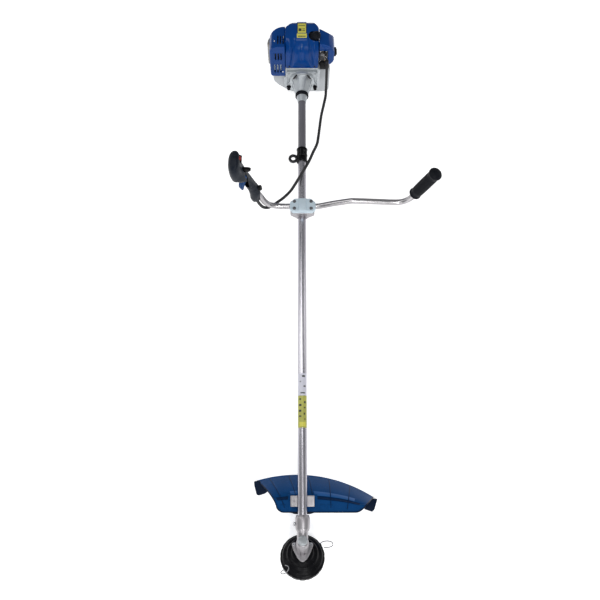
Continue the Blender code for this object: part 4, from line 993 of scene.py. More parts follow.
def build_guard():
    rows = sorted({k / 40 for k in range(41)} | {0.35, 0.36, 0.37, 0.38, 0.39, 0.4, 0.41, 0.42, 0.974, 0.98,
            0.99})
    bm = bmesh.new()
    layers = []
    for sheet in (0.0, GUARD_SHEET):
        grid = []
        for u in guard_columns():
            line = []
            for v in rows:
                place = guard_place(u, v)
                inward = guard_place(u, 0.0) - guard_place(u, 1.0)
                inward = Vector((inward.x, inward.y, 0)).normalized() * sheet * min(1,
                        max(0, (v - GUARD_FOLD) / 0.3))
                drop = sheet * (1 - 0.9 * step(0.9, 1.0, v))
                rise = guard_relief(u, v) if sheet == 0 else 0.0
                line.append(bm.verts.new(place + inward + Vector((0, 0, rise - drop))))
            grid.append(line)
        layers.append(grid)
    top, under = layers
    columns = len(top) - 1
    for k in range(columns):
        for j in range(len(rows) - 1):
            bm.faces.new([top[k][j], top[k + 1][j], top[k + 1][j + 1], top[k][j + 1]])
            bm.faces.new([under[k][j], under[k][j + 1], under[k + 1][j + 1], under[k + 1][j]])
        for j in (0, -1):
            bm.faces.new([top[k][j], under[k][j], under[k + 1][j], top[k + 1][j]])
    for k in (0, -1):
        for j in range(len(rows) - 1):
            bm.faces.new([top[k][j], top[k][j + 1], under[k][j + 1], under[k][j]])
    for vert in bm.verts:
        vert.co.z = max(vert.co.z, GUARD_FLOOR)
    piece("guard_skin", bm, "guard", replaces=["guard"], angle=50)
    # The lip and the hooks take painted shade, a near-black copy of the guard's blue.
    piece("guard_lip", guard_lip(), "guard_deep_shade", angle=40)
    hooks = [eased(prism(plan, GUARD_FLOOR + 0.0002, HOOK_TOP), 0.0022, 3, 25)
             for plan in (LEFT_HOOK, RIGHT_HOOK)]
    piece("guard_hooks", hooks, "guard_deep_shade")
    # A lighter band on the shoulder paints the highlight where it faces the light.
    band = merged(guard_patch(0.46, 0.86, 0.44, 0.55), guard_patch(0.22, 0.34, 0.47, 0.55))
    piece("guard_highlight_band", band, "guard_highlight")
    # Dark strips on the step and along each rib paint their shade.
    groove = merged(guard_patch(0.05, 0.27, 0.335, 0.425, 0.0008),
                    guard_patch(0.42, 0.92, 0.335, 0.425, 0.0008))
    piece("guard_groove_shade", groove, "guard_soft_shade")
    rib_shade_strips = [guard_patch(place - 0.0036, place + 0.0036, 0.1, 0.965, 0.0006, 6, 40) for place in RIB_PLACES]
    piece("guard_rib_shade", rib_shade_strips, "guard_soft_shade")
    piece("guard_seat", guard_seat(), "guard", angle=30)


LEFT_HOOK = [
    (-0.1436, -0.5333), (-0.1425, -0.545), (-0.135, -0.5713), (-0.1281, -0.5732), (-0.1112, -0.568),
    (-0.1, -0.56), (-0.112, -0.55), (-0.127, -0.531)
]
RIGHT_HOOK = [
    (0.205, -0.5805), (0.196, -0.59), (0.1859, -0.6023), (0.1824, -0.611), (0.2045, -0.6182),
    (0.2113, -0.611), (0.2213, -0.5823)
]
HOOK_TOP = -0.102


def guard_patch(u0, u1, v0, v1, lift=0.0003, steps=24, rows=8):
    """A thin panel that lies on the guard's face."""
    loops = []
    for k in range(steps + 1):
        u = u0 + (u1 - u0) * k / steps
        upper = []
        for j in range(rows + 1):
            v = v0 + (v1 - v0) * j / rows
            upper.append(guard_place(u, v) + Vector((0, 0, guard_relief(u, v) + lift)))
        loops.append(upper + [p - Vector((0, 0, 0.001)) for p in upper[::-1]])
    return skinned(loops)


def guard_lip():
    """The turned-down lip along the sides and the front edge, deeper in the middle of the front; its dark
    colour is painted shade.
    """
    steps = 40
    path = [guard_place(0.0, 1 - k / steps) for k in range(steps)]
    path += [guard_place(k / steps, 0.0) for k in range(steps)]
    path += [guard_place(1.0, k / steps) for k in range(steps + 1)]
    loops = []
    for k, point in enumerate(path):
        along = path[min(k + 2, len(path) - 1)] - path[max(k - 2, 0)]
        out = Vector((along.y, -along.x, 0)).normalized()
        front = steps < k < 2 * steps
        middle = 1 - step(0.02, 0.034, abs(point.x))
        deep = 0.0065 + 0.0075 * middle * front
        wide = 0.0016 + 0.0036 * middle * front
        loop = []
        for across, rise in ((-0.0014, 0.0024), (0.4 * wide, 0.0024), (wide, 0.0014), (wide, -deep),
                (-0.0014, -deep)):
            place = point + out * across
            loop.append(Vector((place.x, place.y, max(GUARD_FLOOR, place.z + rise))))
        loops.append(loop)
    return skinned(loops)


def guard_seat():
    """The raised block under the clamp, with a groove each side of it."""
    seat = slab((-0.04, -0.614, -0.0225), (0.042, -0.569, -0.0199), 0.0012)
    ridges = []
    for low, high in ((-0.062, -0.046), (0.048, 0.064), (0.07, 0.086)):
        ridges.append(slab((low, -0.609, -0.0225), (high, -0.596, -0.0202), 0.001))
    return merged(seat, *ridges)


def build_guard_clamp():
    y0, y1 = GUARD_CLAMP_Y - 0.0145, GUARD_CLAMP_Y + 0.0145
    outline = [(-0.0335, -0.0195), (0.0335, -0.0195), (0.0335, -0.006), (-0.0335, -0.006)]
    pad = block((-0.029, y0 + 0.004, -0.0072), (0.029, y1 - 0.004, 0.0))
    clamp = cut(plate(outline, y0, y1, 0.0016, 3, 40), pad,
                along(cylinder(TUBE_R + 0.0002, -0.64, -0.53, 64)))
    piece("guard_clamp_plate", clamp, "gear_case", replaces=["guard_clamp"])
    bolts = [socket_screw((x, GUARD_CLAMP_Y, -0.0074), UP, 0.0028, 0.0026) for x in (-0.0235, 0.0235)]
    piece("guard_clamp_bolts", bolts, "gear_case")


# ---- gear head ----
def build_gear_head():
    tail = [
        (0, -0.003), (0.014, -0.003), (0.015, -0.002), (0.015, 0.033), (0.016, 0.0352), (0.0188, 0.039),
        (0.0195, 0.042), (0.0202, 0.056), (0.0202, 0.068), (0.0196, 0.0705), (0.0178, 0.0752),
        (0.0172, 0.076), (0, 0.076)
    ]
    socket = moved(turned(tail, 64), GEAR_CENTRE, ALONG)
    body = [
        (0, -0.027), (0.0148, -0.027), (0.0158, -0.02), (0.0165, -0.015), (0.0168, 0.002), (0.0165, 0.018),
        (0.0155, 0.0222), (0.0138, 0.0238), (0, 0.0238)
    ]
    head = on_head(turned(body, 64))
    flange = [
        (-0.004, 0.0325), (0.0, 0.0333), (0.004, 0.0325), (0.014, 0.023), (0.0225, 0.0065), (0.029, -0.011),
        (0.029, -0.0165), (0.025, -0.019), (-0.025, -0.019), (-0.029, -0.0165), (-0.029, -0.011),
        (-0.0225, 0.0065), (-0.014, 0.023)
    ]
    foot = on_head(eased(prism(flange, -0.027, -0.0222), 0.0012))
    lug = moved(slab((-0.025, 0.048, -0.005), (0, 0.058, 0.005), 0.0024), GEAR_CENTRE)
    webs = [on_head(slab((x - 0.0014, -0.004, -0.023), (x + 0.0014, 0.03, -0.014), 0.0006))
            for x in (-0.0085, 0.0085)]
    case = joined(socket, head, foot, lug, *webs)
    bore = moved(cylinder(TUBE_R + GAP, 0.0355, 0.09, 64), GEAR_CENTRE, ALONG)
    room = moved(cylinder(0.0118, 0.0, 0.04, 48), GEAR_CENTRE, ALONG)
    gears = [(0, -0.03), (0.0118, -0.03), (0.0118, -0.015), (0.014, -0.014), (0.014, 0.0205), (0, 0.021)]
    split = moved(block((-0.03, 0.044, -0.0006), (-0.012, 0.078, 0.0006)), GEAR_CENTRE)
    case = cut(case, bore, room, on_head(turned(gears, 48)), split)
    piece("gear_casting", case, "gear_case", replaces=["gearcase"], angle=38)
    cap = [
        (0, 0.0236), (0.0128, 0.0236), (0.0134, 0.0246), (0.0134, 0.0272), (0.0128, 0.029), (0.0112, 0.0302),
        (0.008, 0.0309), (0.004, 0.0312), (0, 0.0313)
    ]
    piece("gear_cap", on_head(turned(cap, 48)), "cast")
    screws = [on_head(socket_screw((x, -0.0125, -0.0222), UP, 0.003, 0.0028)) for x in (-0.0232, 0.0232)]
    screws.append(moved(socket_screw((-0.0212, 0.053, 0.005), UP, 0.003, 0.0032), GEAR_CENTRE))
    screws.append(moved(hex_bolt((-0.0212, 0.053, -0.005), (0, 0, -1), 0.003, 0.0026), GEAR_CENTRE))
    piece("gear_screws", screws, "chrome")


# ---- line head ----
HEAD_OUTER = [
    (0.019, -0.029), (0.0218, -0.0292), (0.0226, -0.0302), (0.0226, -0.037), (0.029, -0.0376),
    (0.03, -0.0388), (0.0318, -0.0436), (0.033, -0.0446), (0.0412, -0.0454), (0.0424, -0.0466),
    (0.0446, -0.0522), (0.046, -0.0534), (0.053, -0.0546), (0.0544, -0.056), (0.0566, -0.0618),
    (0.058, -0.0632), (0.061, -0.064), (0.062, -0.0652), (0.062, -0.0736), (0.0612, -0.0748),
    (0.0592, -0.076), (0.0564, -0.0826), (0.0558, -0.084)
]
HEAD_INNER = [
    (0.0535, -0.084), (0.0535, -0.066), (0.05, -0.061), (0.04, -0.056), (0.0075, -0.054), (0.0075, -0.046),
    (0.0053, -0.046), (0.0053, -0.029)
]


def build_line_head():
    def grips(angle, height):
        return 1 - 0.012 * (-0.0752 < height < -0.064) * max(0.0, math.cos(18 * angle)) ** 2

    drum = on_head(turned(HEAD_OUTER + HEAD_INNER, 144, grips))
    ribs = []
    for k in range(12):
        turn = math.radians(30 * k + 15)
        rib = slab((0.0335, -0.0008, -0.0462), (0.0418, 0.0008, -0.044), 0.0004)
        ribs.append(on_head(moved(rib, turn=turn)))
        rib = slab((0.0464, -0.0009, -0.0556), (0.0532, 0.0009, -0.053), 0.0004)
        ribs.append(on_head(moved(rib, turn=turn)))
    piece("head_housing", [drum, *ribs], "black", "cutter", ["line_head"], angle=38)
    eyelets = []
    for x, b in ((0.0507, 0.038), (-0.0524, -0.0356)):
        turn = math.atan2(b, x)
        tube = moved(ring(0.0044, 0.0022, 0.059, 0.0632, 28), (0, 0, -0.0694),
                     (math.cos(turn), math.sin(turn), 0))
        eyelets.append(on_head(tube))
    piece("head_eyelets", eyelets, "chrome", "cutter")
    knob = [
        (0, -0.1), (0.012, -0.0998), (0.0205, -0.099), (0.0255, -0.097), (0.0296, -0.0932), (0.0318, -0.089),
        (0.033, -0.0843), (0.0125, -0.0843), (0.0105, -0.0785), (0.0105, -0.0695), (0.006, -0.0695),
        (0.006, -0.079), (0, -0.079)
    ]

    def ridges(angle, height):
        return 1 - 0.045 * (-0.0985 < height < -0.085) * max(0.0, math.cos(10 * angle)) ** 2

    piece("bump_button", on_head(turned(knob, 96, ridges)), "black", "bump_feed", ["bump_knob"], angle=38)


# ---- clutch housing and castings ----
def build_clutch_housing():
    cone = [
        (0.0133, 0.777), (0.0218, 0.777), (0.0226, 0.7776), (0.0228, 0.78), (0.0236, 0.7824), (0.0246, 0.785),
        (0.0358, 0.825), (0.0372, 0.828), (0.0392, 0.8292), (0.043, 0.8298), (0.044, 0.8308), (0.044, 0.8446),
        (0.0432, 0.8457), (0.0405, 0.8457), (0.0405, 0.8312), (0.034, 0.8285), (0.015, 0.8285),
        (0.015, 0.815), (0.0133, 0.815)
    ]

    def facets(angle, height):
        return 1 - 0.035 * (0.786 < height < 0.826) * abs(math.sin(4 * angle + math.pi / 2)) ** 3

    shell = along(turned(cone, 96, facets))
    points = []
    for quarter in range(4):
        x = 0.048 * (1 if quarter in (0, 3) else -1)
        z = 0.033 * (1 if quarter in (0, 1) else -1)
        way = math.degrees(math.atan2(z, x))
        points += arc((x, z), 0.0075, way - 90, way + 90, 10)
        middle = math.radians(90 * (quarter + 1))
        points.append((0.04 * math.cos(middle), 0.04 * math.sin(middle)))
    ears = cut(plate(points, 0.838, 0.8457, 0.0012), along(cylinder(0.0405, 0.82, 0.86, 96)))
    webs = []
    for k in range(8):
        turn = math.radians(22.5 + 45 * k)
        web = [(0.0235, 0.786), (0.025, 0.7845), (0.0395, 0.8285), (0.0395, 0.833), (0.03, 0.833)]
        webs.append(along(moved(facing_y(prism(web, -0.0012, 0.0012)), turn=turn)))
    # Near-black pads set on the cone paint the shade in its two windows; no opening is cut.
    window_shade_pads = []
    for x, turn in ((-0.0245, 1), (0.0245, -1)):
        pad = moved(block((-0.0085, -0.0024, -0.006), (0.0085, 0.0024, 0.006)), (x, 0.8245, 0.033),
                    (turn * 0.5, -0.3, 0.85))
        window_shade_pads.append(eased(pad, 0.0008))
    piece("clutch_cone", [shell, ears, *webs], "cast", replaces=["clutch_housing"], angle=34)
    piece("cone_window_shade", window_shade_pads, "cast_dark")
    bolts = [socket_screw((x, 0.838, -0.033), BACK, 0.0062, 0.012) for x in (-0.048, 0.048)]
    piece("cone_bolts", bolts, "black")
    upper = [socket_screw((x, 0.838, 0.033), BACK, 0.004, 0.003) for x in (-0.048, 0.048)]
    piece("cone_upper_bolts", upper, "cast")


def build_castings():
    shape = arc((-0.0365, -0.033), 0.027, 180, 270, 8) + arc((0.0365, -0.033), 0.027, 270, 360, 8)
    shape += [
        (0.0635, 0.044), (0.0575, 0.0505), (-0.0575, 0.0505), (-0.058, 0.044), (-0.058, 0.007),
        (-0.0635, 0.007)
    ]
    fan = plate(shape, 0.846, 0.8942, 0.002)
    fan = cut(fan, along(cylinder(0.049, 0.8495, 0.91, 64)), along(cylinder(0.0425, 0.83, 0.87, 64)))
    ribs = []
    for x in (-0.0535, -0.0465, 0.0465, 0.0535):
        ribs.append(slab((x - 0.0011, 0.8438, -0.018), (x + 0.0011, 0.847, 0.046), 0.0006))
    piece("fan_casting", [fan, *ribs], "cast", replaces=["fan_housing"])
    shape = rounded_outline((-0.05, -0.052), (0.046, 0.042), (0.02, 0.02, 0.006, 0.006), 6)
    case = plate(shape, 0.8945, 0.96, 0.0018)
    case = cut(case, along(cylinder(0.03, 0.901, 0.952, 48)), along(cylinder(0.0078, 0.88, 0.97, 32)),
               moved(cylinder(0.0203, 0.0, 0.06, 48), (0, 0.927, 0)))
    fins = []
    for y in (0.905, 0.915, 0.925, 0.935, 0.945):
        fin = rounded_outline((-0.053, -0.04), (-0.049, 0.04), (0.001, 0.001, 0.001, 0.001), 2)
        fins.append(facing_y(prism(fin, y - 0.0008, y + 0.0008)))
    piece("crankcase_casting", [case, *fins], "cast", replaces=["crankcase"])
    bolts = [hex_bolt((0.0462, y, z), RIGHT, 0.0036, 0.003) for y in (0.9035, 0.9515)
             for z in (-0.028, 0.028)]
    piece("crankcase_bolts", bolts, "chrome")


# ---- covers ----
PLUG_ROOT = Vector((0.011, 0.912, 0.115))
PLUG_WAY = Vector((0.6, -0.4, 0.69)).normalized()
COVER_WALL = 0.0026
COVER_X = (-0.058, 0.0575)
COVER_SIDE = [
    (0.847, 0.052), (0.8475, 0.064), (0.848, 0.082), (0.85, 0.112), (0.856, 0.127), (0.867, 0.141),
    (0.882, 0.151), (0.9, 0.1548), (0.925, 0.1555), (0.944, 0.153), (0.964, 0.137), (0.98, 0.119),
    (0.986, 0.108), (0.9862, 0.08), (0.9862, 0.052)
]
COVER_EDGE = 0.007


def cover_height(x, y, z):
    """The moulded relief of the centre cover above its plain side profile."""
    front = 1 - step(0.856, 0.905, y)
    wide = 0.015 + 0.0135 * front * (1 - step(0.06, 0.13, z) * 0.45)
    hood = 0.0026 * (1 - step(wide, wide + 0.0024, abs(x + 0.0008)))
    valley = 0.0052 * (1 - step(0.0, 0.007, abs(abs(x + 0.0008) - wide - 0.008))) * front
    shoulder = 0.0042 * (1 - step(0.0, 0.01, abs(abs(x) - 0.042))) * front * step(0.07, 0.11, z)
    dent = 0.0022 * (1 - step(0.0, 0.009, abs(x + 0.0008))) * (1 - step(0.86, 0.87, y)) * step(0.08, 0.11, z)
    return (hood - valley * 0.5 + shoulder - dent) * step(0.06, 0.075, z)


def build_centre_cover():
    side = [Vector((0, y, z)) for y, z in COVER_SIDE]
    path = smooth_path(side, 5)
    middle = Vector((0, 0.915, 0.07))
    columns = 72
    bm = bmesh.new()
    grid = []
    for k, point in enumerate(path):
        along = (path[min(k + 1, len(path) - 1)] - path[max(k - 1, 0)]).normalized()
        out = Vector((0, -along.z, along.y))
        if out.dot(point - middle) < 0:
            out = -out
        narrow = 0.015 * step(0.925, 0.95, point.y) * step(0.09, 0.13, point.z)
        low, high = COVER_X[0] + narrow * 1.25, COVER_X[1] - narrow * 0.7
        row = []
        for c in range(columns + 1):
            x = low + (high - low) * c / columns
            edge = min(x - low, high - x)
            fall = COVER_EDGE - math.sqrt(max(0.0, COVER_EDGE**2 - max(0.0, COVER_EDGE - edge) ** 2))
            lift = cover_height(x, point.y, point.z) - fall
            row.append(bm.verts.new(point + out * lift + Vector((x, 0, 0))))
        grid.append(row)
    for low_row, high_row in zip(grid, grid[1:]):
        for c in range(columns):
            bm.faces.new([low_row[c], low_row[c + 1], high_row[c + 1], high_row[c]])
    for c in (0, -1):
        bm.faces.new([row[c] for row in grid])
    shell = thickened(bm, COVER_WALL)
    openings = [moved(cylinder(0.0172, 0.01, 0.1, 48), PLUG_ROOT, PLUG_WAY)]
    openings.append(block((0.03, 0.895, 0.068), (0.065, 0.929, 0.101)))
    openings.append(block((-0.07, 0.91, 0.06), (-0.04, 0.944, 0.1)))
    piece("engine_cover", cut(shell, *openings), "blue", replaces=["cylinder_cover"], angle=28)
    screws = [cross_screw((x, 0.8474, 0.059), BACK, 0.003) for x in (-0.044, 0.044)]
    screws += [cross_screw((x, 0.9864, 0.06), ALONG, 0.003) for x in (-0.04, 0.04)]
    piece("engine_cover_screws", screws, "black_oxide")


def cover_top(y):
    """Height of the centre cover's plain side profile over its top."""
    path = [p for p in smooth_path([Vector((0, *point)) for point in COVER_SIDE], 12) if p.z > 0.125]
    for a, b in zip(path, path[1:]):
        if a.y <= y <= b.y:
            return a.z + (b.z - a.z) * (y - a.y) / (b.y - a.y)
    return path[-1].z


def top_patch(low, high, lift, cells=8):
    """A thin sheet that lies on the centre cover's hood, from its low corner to its high one in x and y."""
    loops = []
    for k in range(cells + 1):
        y = low[1] + (high[1] - low[1]) * k / cells
        base = cover_top(y) + 0.0026 + lift
        loops.append([Vector((low[0], y, base)),
                      Vector((high[0], y, base))] + [Vector((high[0], y, base - 0.0005)),
                Vector((low[0], y, base - 0.0005))])
    return skinned(loops)


def build_cover_labels():
    piece("upper_label", top_patch((-0.016, 0.899), (0.015, 0.942), 0.0002), "yellow_label")
    piece("lower_label", top_patch((-0.0175, 0.8745), (0.016, 0.8965), 0.0002), "yellow_label")
    places = [
        ((-0.016, 0.9395), (0.015, 0.942)), ((-0.016, 0.899), (-0.0142, 0.942)),
        ((0.0132, 0.899), (0.015, 0.942)), ((-0.012, 0.906), (-0.002, 0.917)),
        ((0.001, 0.906), (0.01, 0.909)), ((0.001, 0.913), (0.01, 0.916)), ((-0.012, 0.928), (0.01, 0.9305)),
        ((-0.014, 0.885), (0.012, 0.888))
    ]
    marks = [top_patch(low, high, 0.0004) for low, high in places]
    piece("cover_label_marks", marks, "ink")


# Vents of the exhaust cover: columns in x, and from low to high in z on the front or in y on the top
FRONT_VENTS = [((-0.0955, -0.085, -0.0745), (0.024, 0.064)), ((-0.091, -0.0815, -0.072), (0.084, 0.116))]
TOP_VENTS = [((-0.082, -0.073, -0.064), (0.864, 0.9))]


def vents(table, half):
    """The outline of each vent, with rounded ends."""
    return [rounded_outline((x - half, low), (x + half, high), (half - 0.0002,) * 4, 4) for columns,
            (low, high) in table for x in columns]


def sloped(bm, top_y, top_z):
    """The solid with its rear top edge sloped down at 45 degrees."""
    wedge = [(top_y, top_z), (top_y + 0.3, top_z - 0.3), (top_y + 0.3, top_z + 0.1), (top_y, top_z + 0.1)]
    return cut(bm, facing_x(prism(wedge, -0.2, 0.2)))


def slanted(outline):
    """A solid that slants down rearwards at 45 degrees; its outline is in X and in the sum of Y and Z."""
    bm = prism(outline, 0.0, 0.3)
    for vert in bm.verts:
        x, total, down = vert.co
        vert.co = (x, total - 0.15 + down - 0.1, 0.25 - down)
    return bm


def corner_curve(centre, across, back, steps=12):
    """A quarter of an ellipse from its left end to its rear end."""
    angles = [math.pi - math.pi / 2 * k / steps for k in range(steps + 1)]
    return [(centre[0] + across * math.cos(a), centre[1] + back * math.sin(a)) for a in angles]


def round_tail(centre, across, back):
    """A slanted solid that ends in a quarter of an ellipse, its centre in X and in the sum of Y and Z."""
    left, rear = centre[0] - across, centre[1] + back
    return slanted([(left, 0.8)] + corner_curve(centre, across, back) + [(-0.05, rear), (-0.05, 0.8)])


CORNER_AT = (-0.062, 1.025)
EXHAUST_CREST = (0.938, 0.145)


def exhaust_solid(low, high, radii, plan_rear, plan_radii, crest, across, back, steps):
    """The exhaust cover's outside or inside: front outline, plan, sloped top and rounded corner."""
    outline = rounded_outline((low[0], low[2]), (high[0], high[2]), radii, steps)
    solid = sloped(facing_y(prism(outline, low[1], high[1])), crest, EXHAUST_CREST[1])
    plan = rounded_outline((low[0], low[1]), (high[0], plan_rear), plan_radii, steps)
    return combined(solid, [prism(plan, 0.0, 0.2), round_tail(CORNER_AT, across, back)], "INTERSECT")


def build_muffler_cover():
    outer = exhaust_solid((-0.112, 0.851, 0.008), (-0.0585, 0.986, 0.145), (0.012, 0.008, 0.004, 0.03), 0.986,
            (0.006, 0.002, 0.002, 0.036), EXHAUST_CREST[0], 0.05, 0.058, 10)
    outer = eased(outer, 0.0042, 4, 30)
    room = exhaust_solid((-0.109, 0.854, 0.011), (-0.0612, 0.99, 0.142), (0.009, 0.005, 0.002, 0.027), 0.983,
            (0.004, 0.002, 0.002, 0.033), EXHAUST_CREST[0] - 0.0042, 0.047, 0.0545, 8)
    window = block((-0.125, 0.8925, 0.005), (-0.104, 1.0, 0.112))
    side = block((-0.08, 0.8925, 0.045), (-0.05, 1.0, 0.12))
    slots = [facing_y(prism(slot, 0.84, 0.86)) for slot in vents(FRONT_VENTS, 0.0024)]
    slots += [prism(slot, 0.13, 0.16) for slot in vents(TOP_VENTS, 0.0022)]
    cover = cut(outer, room, window, side, *slots)
    louvres = []
    for columns, (low, high) in FRONT_VENTS:
        for x in columns + (columns[-1] + 0.0095,):
            x -= 0.005
            louvres.append(slab((x - 0.001, 0.85, low), (x + 0.001, 0.852, high), 0.0005))
    piece("exhaust_cover", [cover, *louvres], "blue", replaces=["muffler_cover"], angle=28)
    screws = [
        cross_screw((-0.067, 0.8508, 0.03), BACK, 0.0032), cross_screw((-0.093, 0.876, 0.1448), UP, 0.0026)
    ]
    piece("exhaust_cover_screws", screws, "chrome")
    piece("heat_shield", slab((-0.1035, 0.86, 0.026), (-0.064, 0.8612, 0.069), 0.0004), "cast_light")
    # A black sheet just behind the upper vents paints the shade inside the cover.
    piece("vent_shade_sheet", slab((-0.1035, 0.86, 0.0715), (-0.064, 0.8612, 0.12), 0.0004), "black")


def build_muffler():
    box = block((-0.12, 0.895, 0.016), (-0.0655, 0.955, 0.11))
    shell = combined(box, [round_tail((-0.072, 1.01), 0.048, 0.046)], "INTERSECT")
    shell = eased(shell, 0.006, 4, 40)
    port = moved(cylinder(0.01, -0.066, -0.0425, 32), (0, 0.927, 0.08), RIGHT)
    seam = slab((-0.1204, 0.9046, 0.0148), (-0.065, 0.9072, 0.102), 0.001)
    ribs = [slab((-0.1206, 0.902, z), (-0.119, 0.918, z + 0.003), 0.0006) for z in (0.03, 0.045, 0.06, 0.075)]
    piece("muffler_box", [joined(shell, port, seam), *ribs], "muffler", replaces=["muffler"])
    outlet = moved(turned([(0.005, 0), (0.0085, 0), (0.0085, 0.003), (0.0068, 0.0034), (0.0068, 0.009),
            (0.005, 0.009)], 32), (-0.1, 0.955, 0.042), ALONG)
    piece("exhaust_outlet", outlet, "muffler")


FILTER_OUTLINE = [
    (0.06, 0.116), (0.09, 0.116), (0.09, 0.056), (0.1, 0.054), (0.112, 0.07), (0.112, 0.106), (0.106, 0.122),
    (0.092, 0.137), (0.076, 0.144), (0.06, 0.146)
]
FILTER_ROOM = [
    (0.063, 0.119), (0.093, 0.119), (0.093, 0.0586), (0.0987, 0.0573), (0.109, 0.071), (0.109, 0.1054),
    (0.1034, 0.1203), (0.0902, 0.1344), (0.0752, 0.141), (0.063, 0.1428)
]
KNOB_AT = Vector((0.1123, 0.885, 0.088))
CARB_X = 0.074


def build_filter_cover():
    outer = sloped(facing_y(prism(FILTER_OUTLINE, 0.862, 0.978)), 0.93, 0.146)
    plan = [
        (0.05, 0.862), (0.108, 0.862), (0.112, 0.866), (0.112, 0.938), (0.108, 0.953), (0.0914, 0.966),
        (0.06, 0.978), (0.05, 0.978)
    ]
    tail = [
        (0.05, 0.8), (0.112, 0.8), (0.112, 1.026), (0.111, 1.036), (0.106, 1.044), (0.0888, 1.056),
        (0.0683, 1.069), (0.056, 1.0755), (0.05, 1.076)
    ]
    outer = combined(outer, [prism(plan, 0.0, 0.2), slanted(tail)], "INTERSECT")
    outer = eased(outer, 0.004, 4, 20)
    room = sloped(facing_y(prism(FILTER_ROOM, 0.865, 1.0)), 0.93 - 0.0042, 0.146)
    plan = [(0.05, 0.865), (0.109, 0.865), (0.109, 0.937), (0.106, 0.9505), (0.0903, 0.9632)]
    tail = [
        (0.05, 0.8), (0.109, 0.8), (0.109, 1.0245), (0.1082, 1.033), (0.104, 1.04), (0.087, 1.0515),
        (0.067, 1.0645), (0.056, 1.071), (0.05, 1.0715)
    ]
    room = combined(room, [prism(plan + [(0.062, 0.99), (0.05, 0.99)], 0.0, 0.2), slanted(tail)], "INTERSECT")
    ridge = slab((0.064, 0.8609, 0.119), (0.106, 0.863, 0.1212), 0.0008)
    panel = [(0.068, 0.124), (0.098, 0.124), (0.088, 0.133), (0.074, 0.1378), (0.068, 0.1385)]
    panel = plate(panel, 0.861, 0.863, 0.0008)
    piece("air_filter_cover", [cut(outer, room), ridge, panel], "blue", replaces=["filter_cover"], angle=28)
    back = [
        (0.061, 0.0965), (0.088, 0.0965), (0.093, 0.06), (0.099, 0.058), (0.1085, 0.072), (0.1085, 0.0965)
    ]
    back = combined(facing_y(prism(back, 0.974, 0.979)), [slanted(tail)], "INTERSECT")
    piece("filter_back", eased(back, 0.001), "black", replaces=["filter_backplate"])
    pad = slab((0.0655, 0.8705, 0.1212), (0.0895, 0.914, 0.1328), 0.0012)
    piece("foam_pad", pad, "foam", replaces=["filter_foam"])
    turn = [(0, 0), (0.0138, 0), (0.015, 0.0008), (0.015, 0.005), (0.0142, 0.006), (0, 0.0062)]

    def lobes(angle, height):
        return 1 - 0.05 * max(0.0, math.cos(16 * angle)) ** 2

    rib = slab((-0.0122, -0.0022, 0.005), (0.0122, 0.0022, 0.009), 0.001)
    knob = merged(turned(turn, 96, lobes), rib)
    piece("cover_knob", moved(knob, KNOB_AT, RIGHT), "black", "knob", ["filter_knob"])


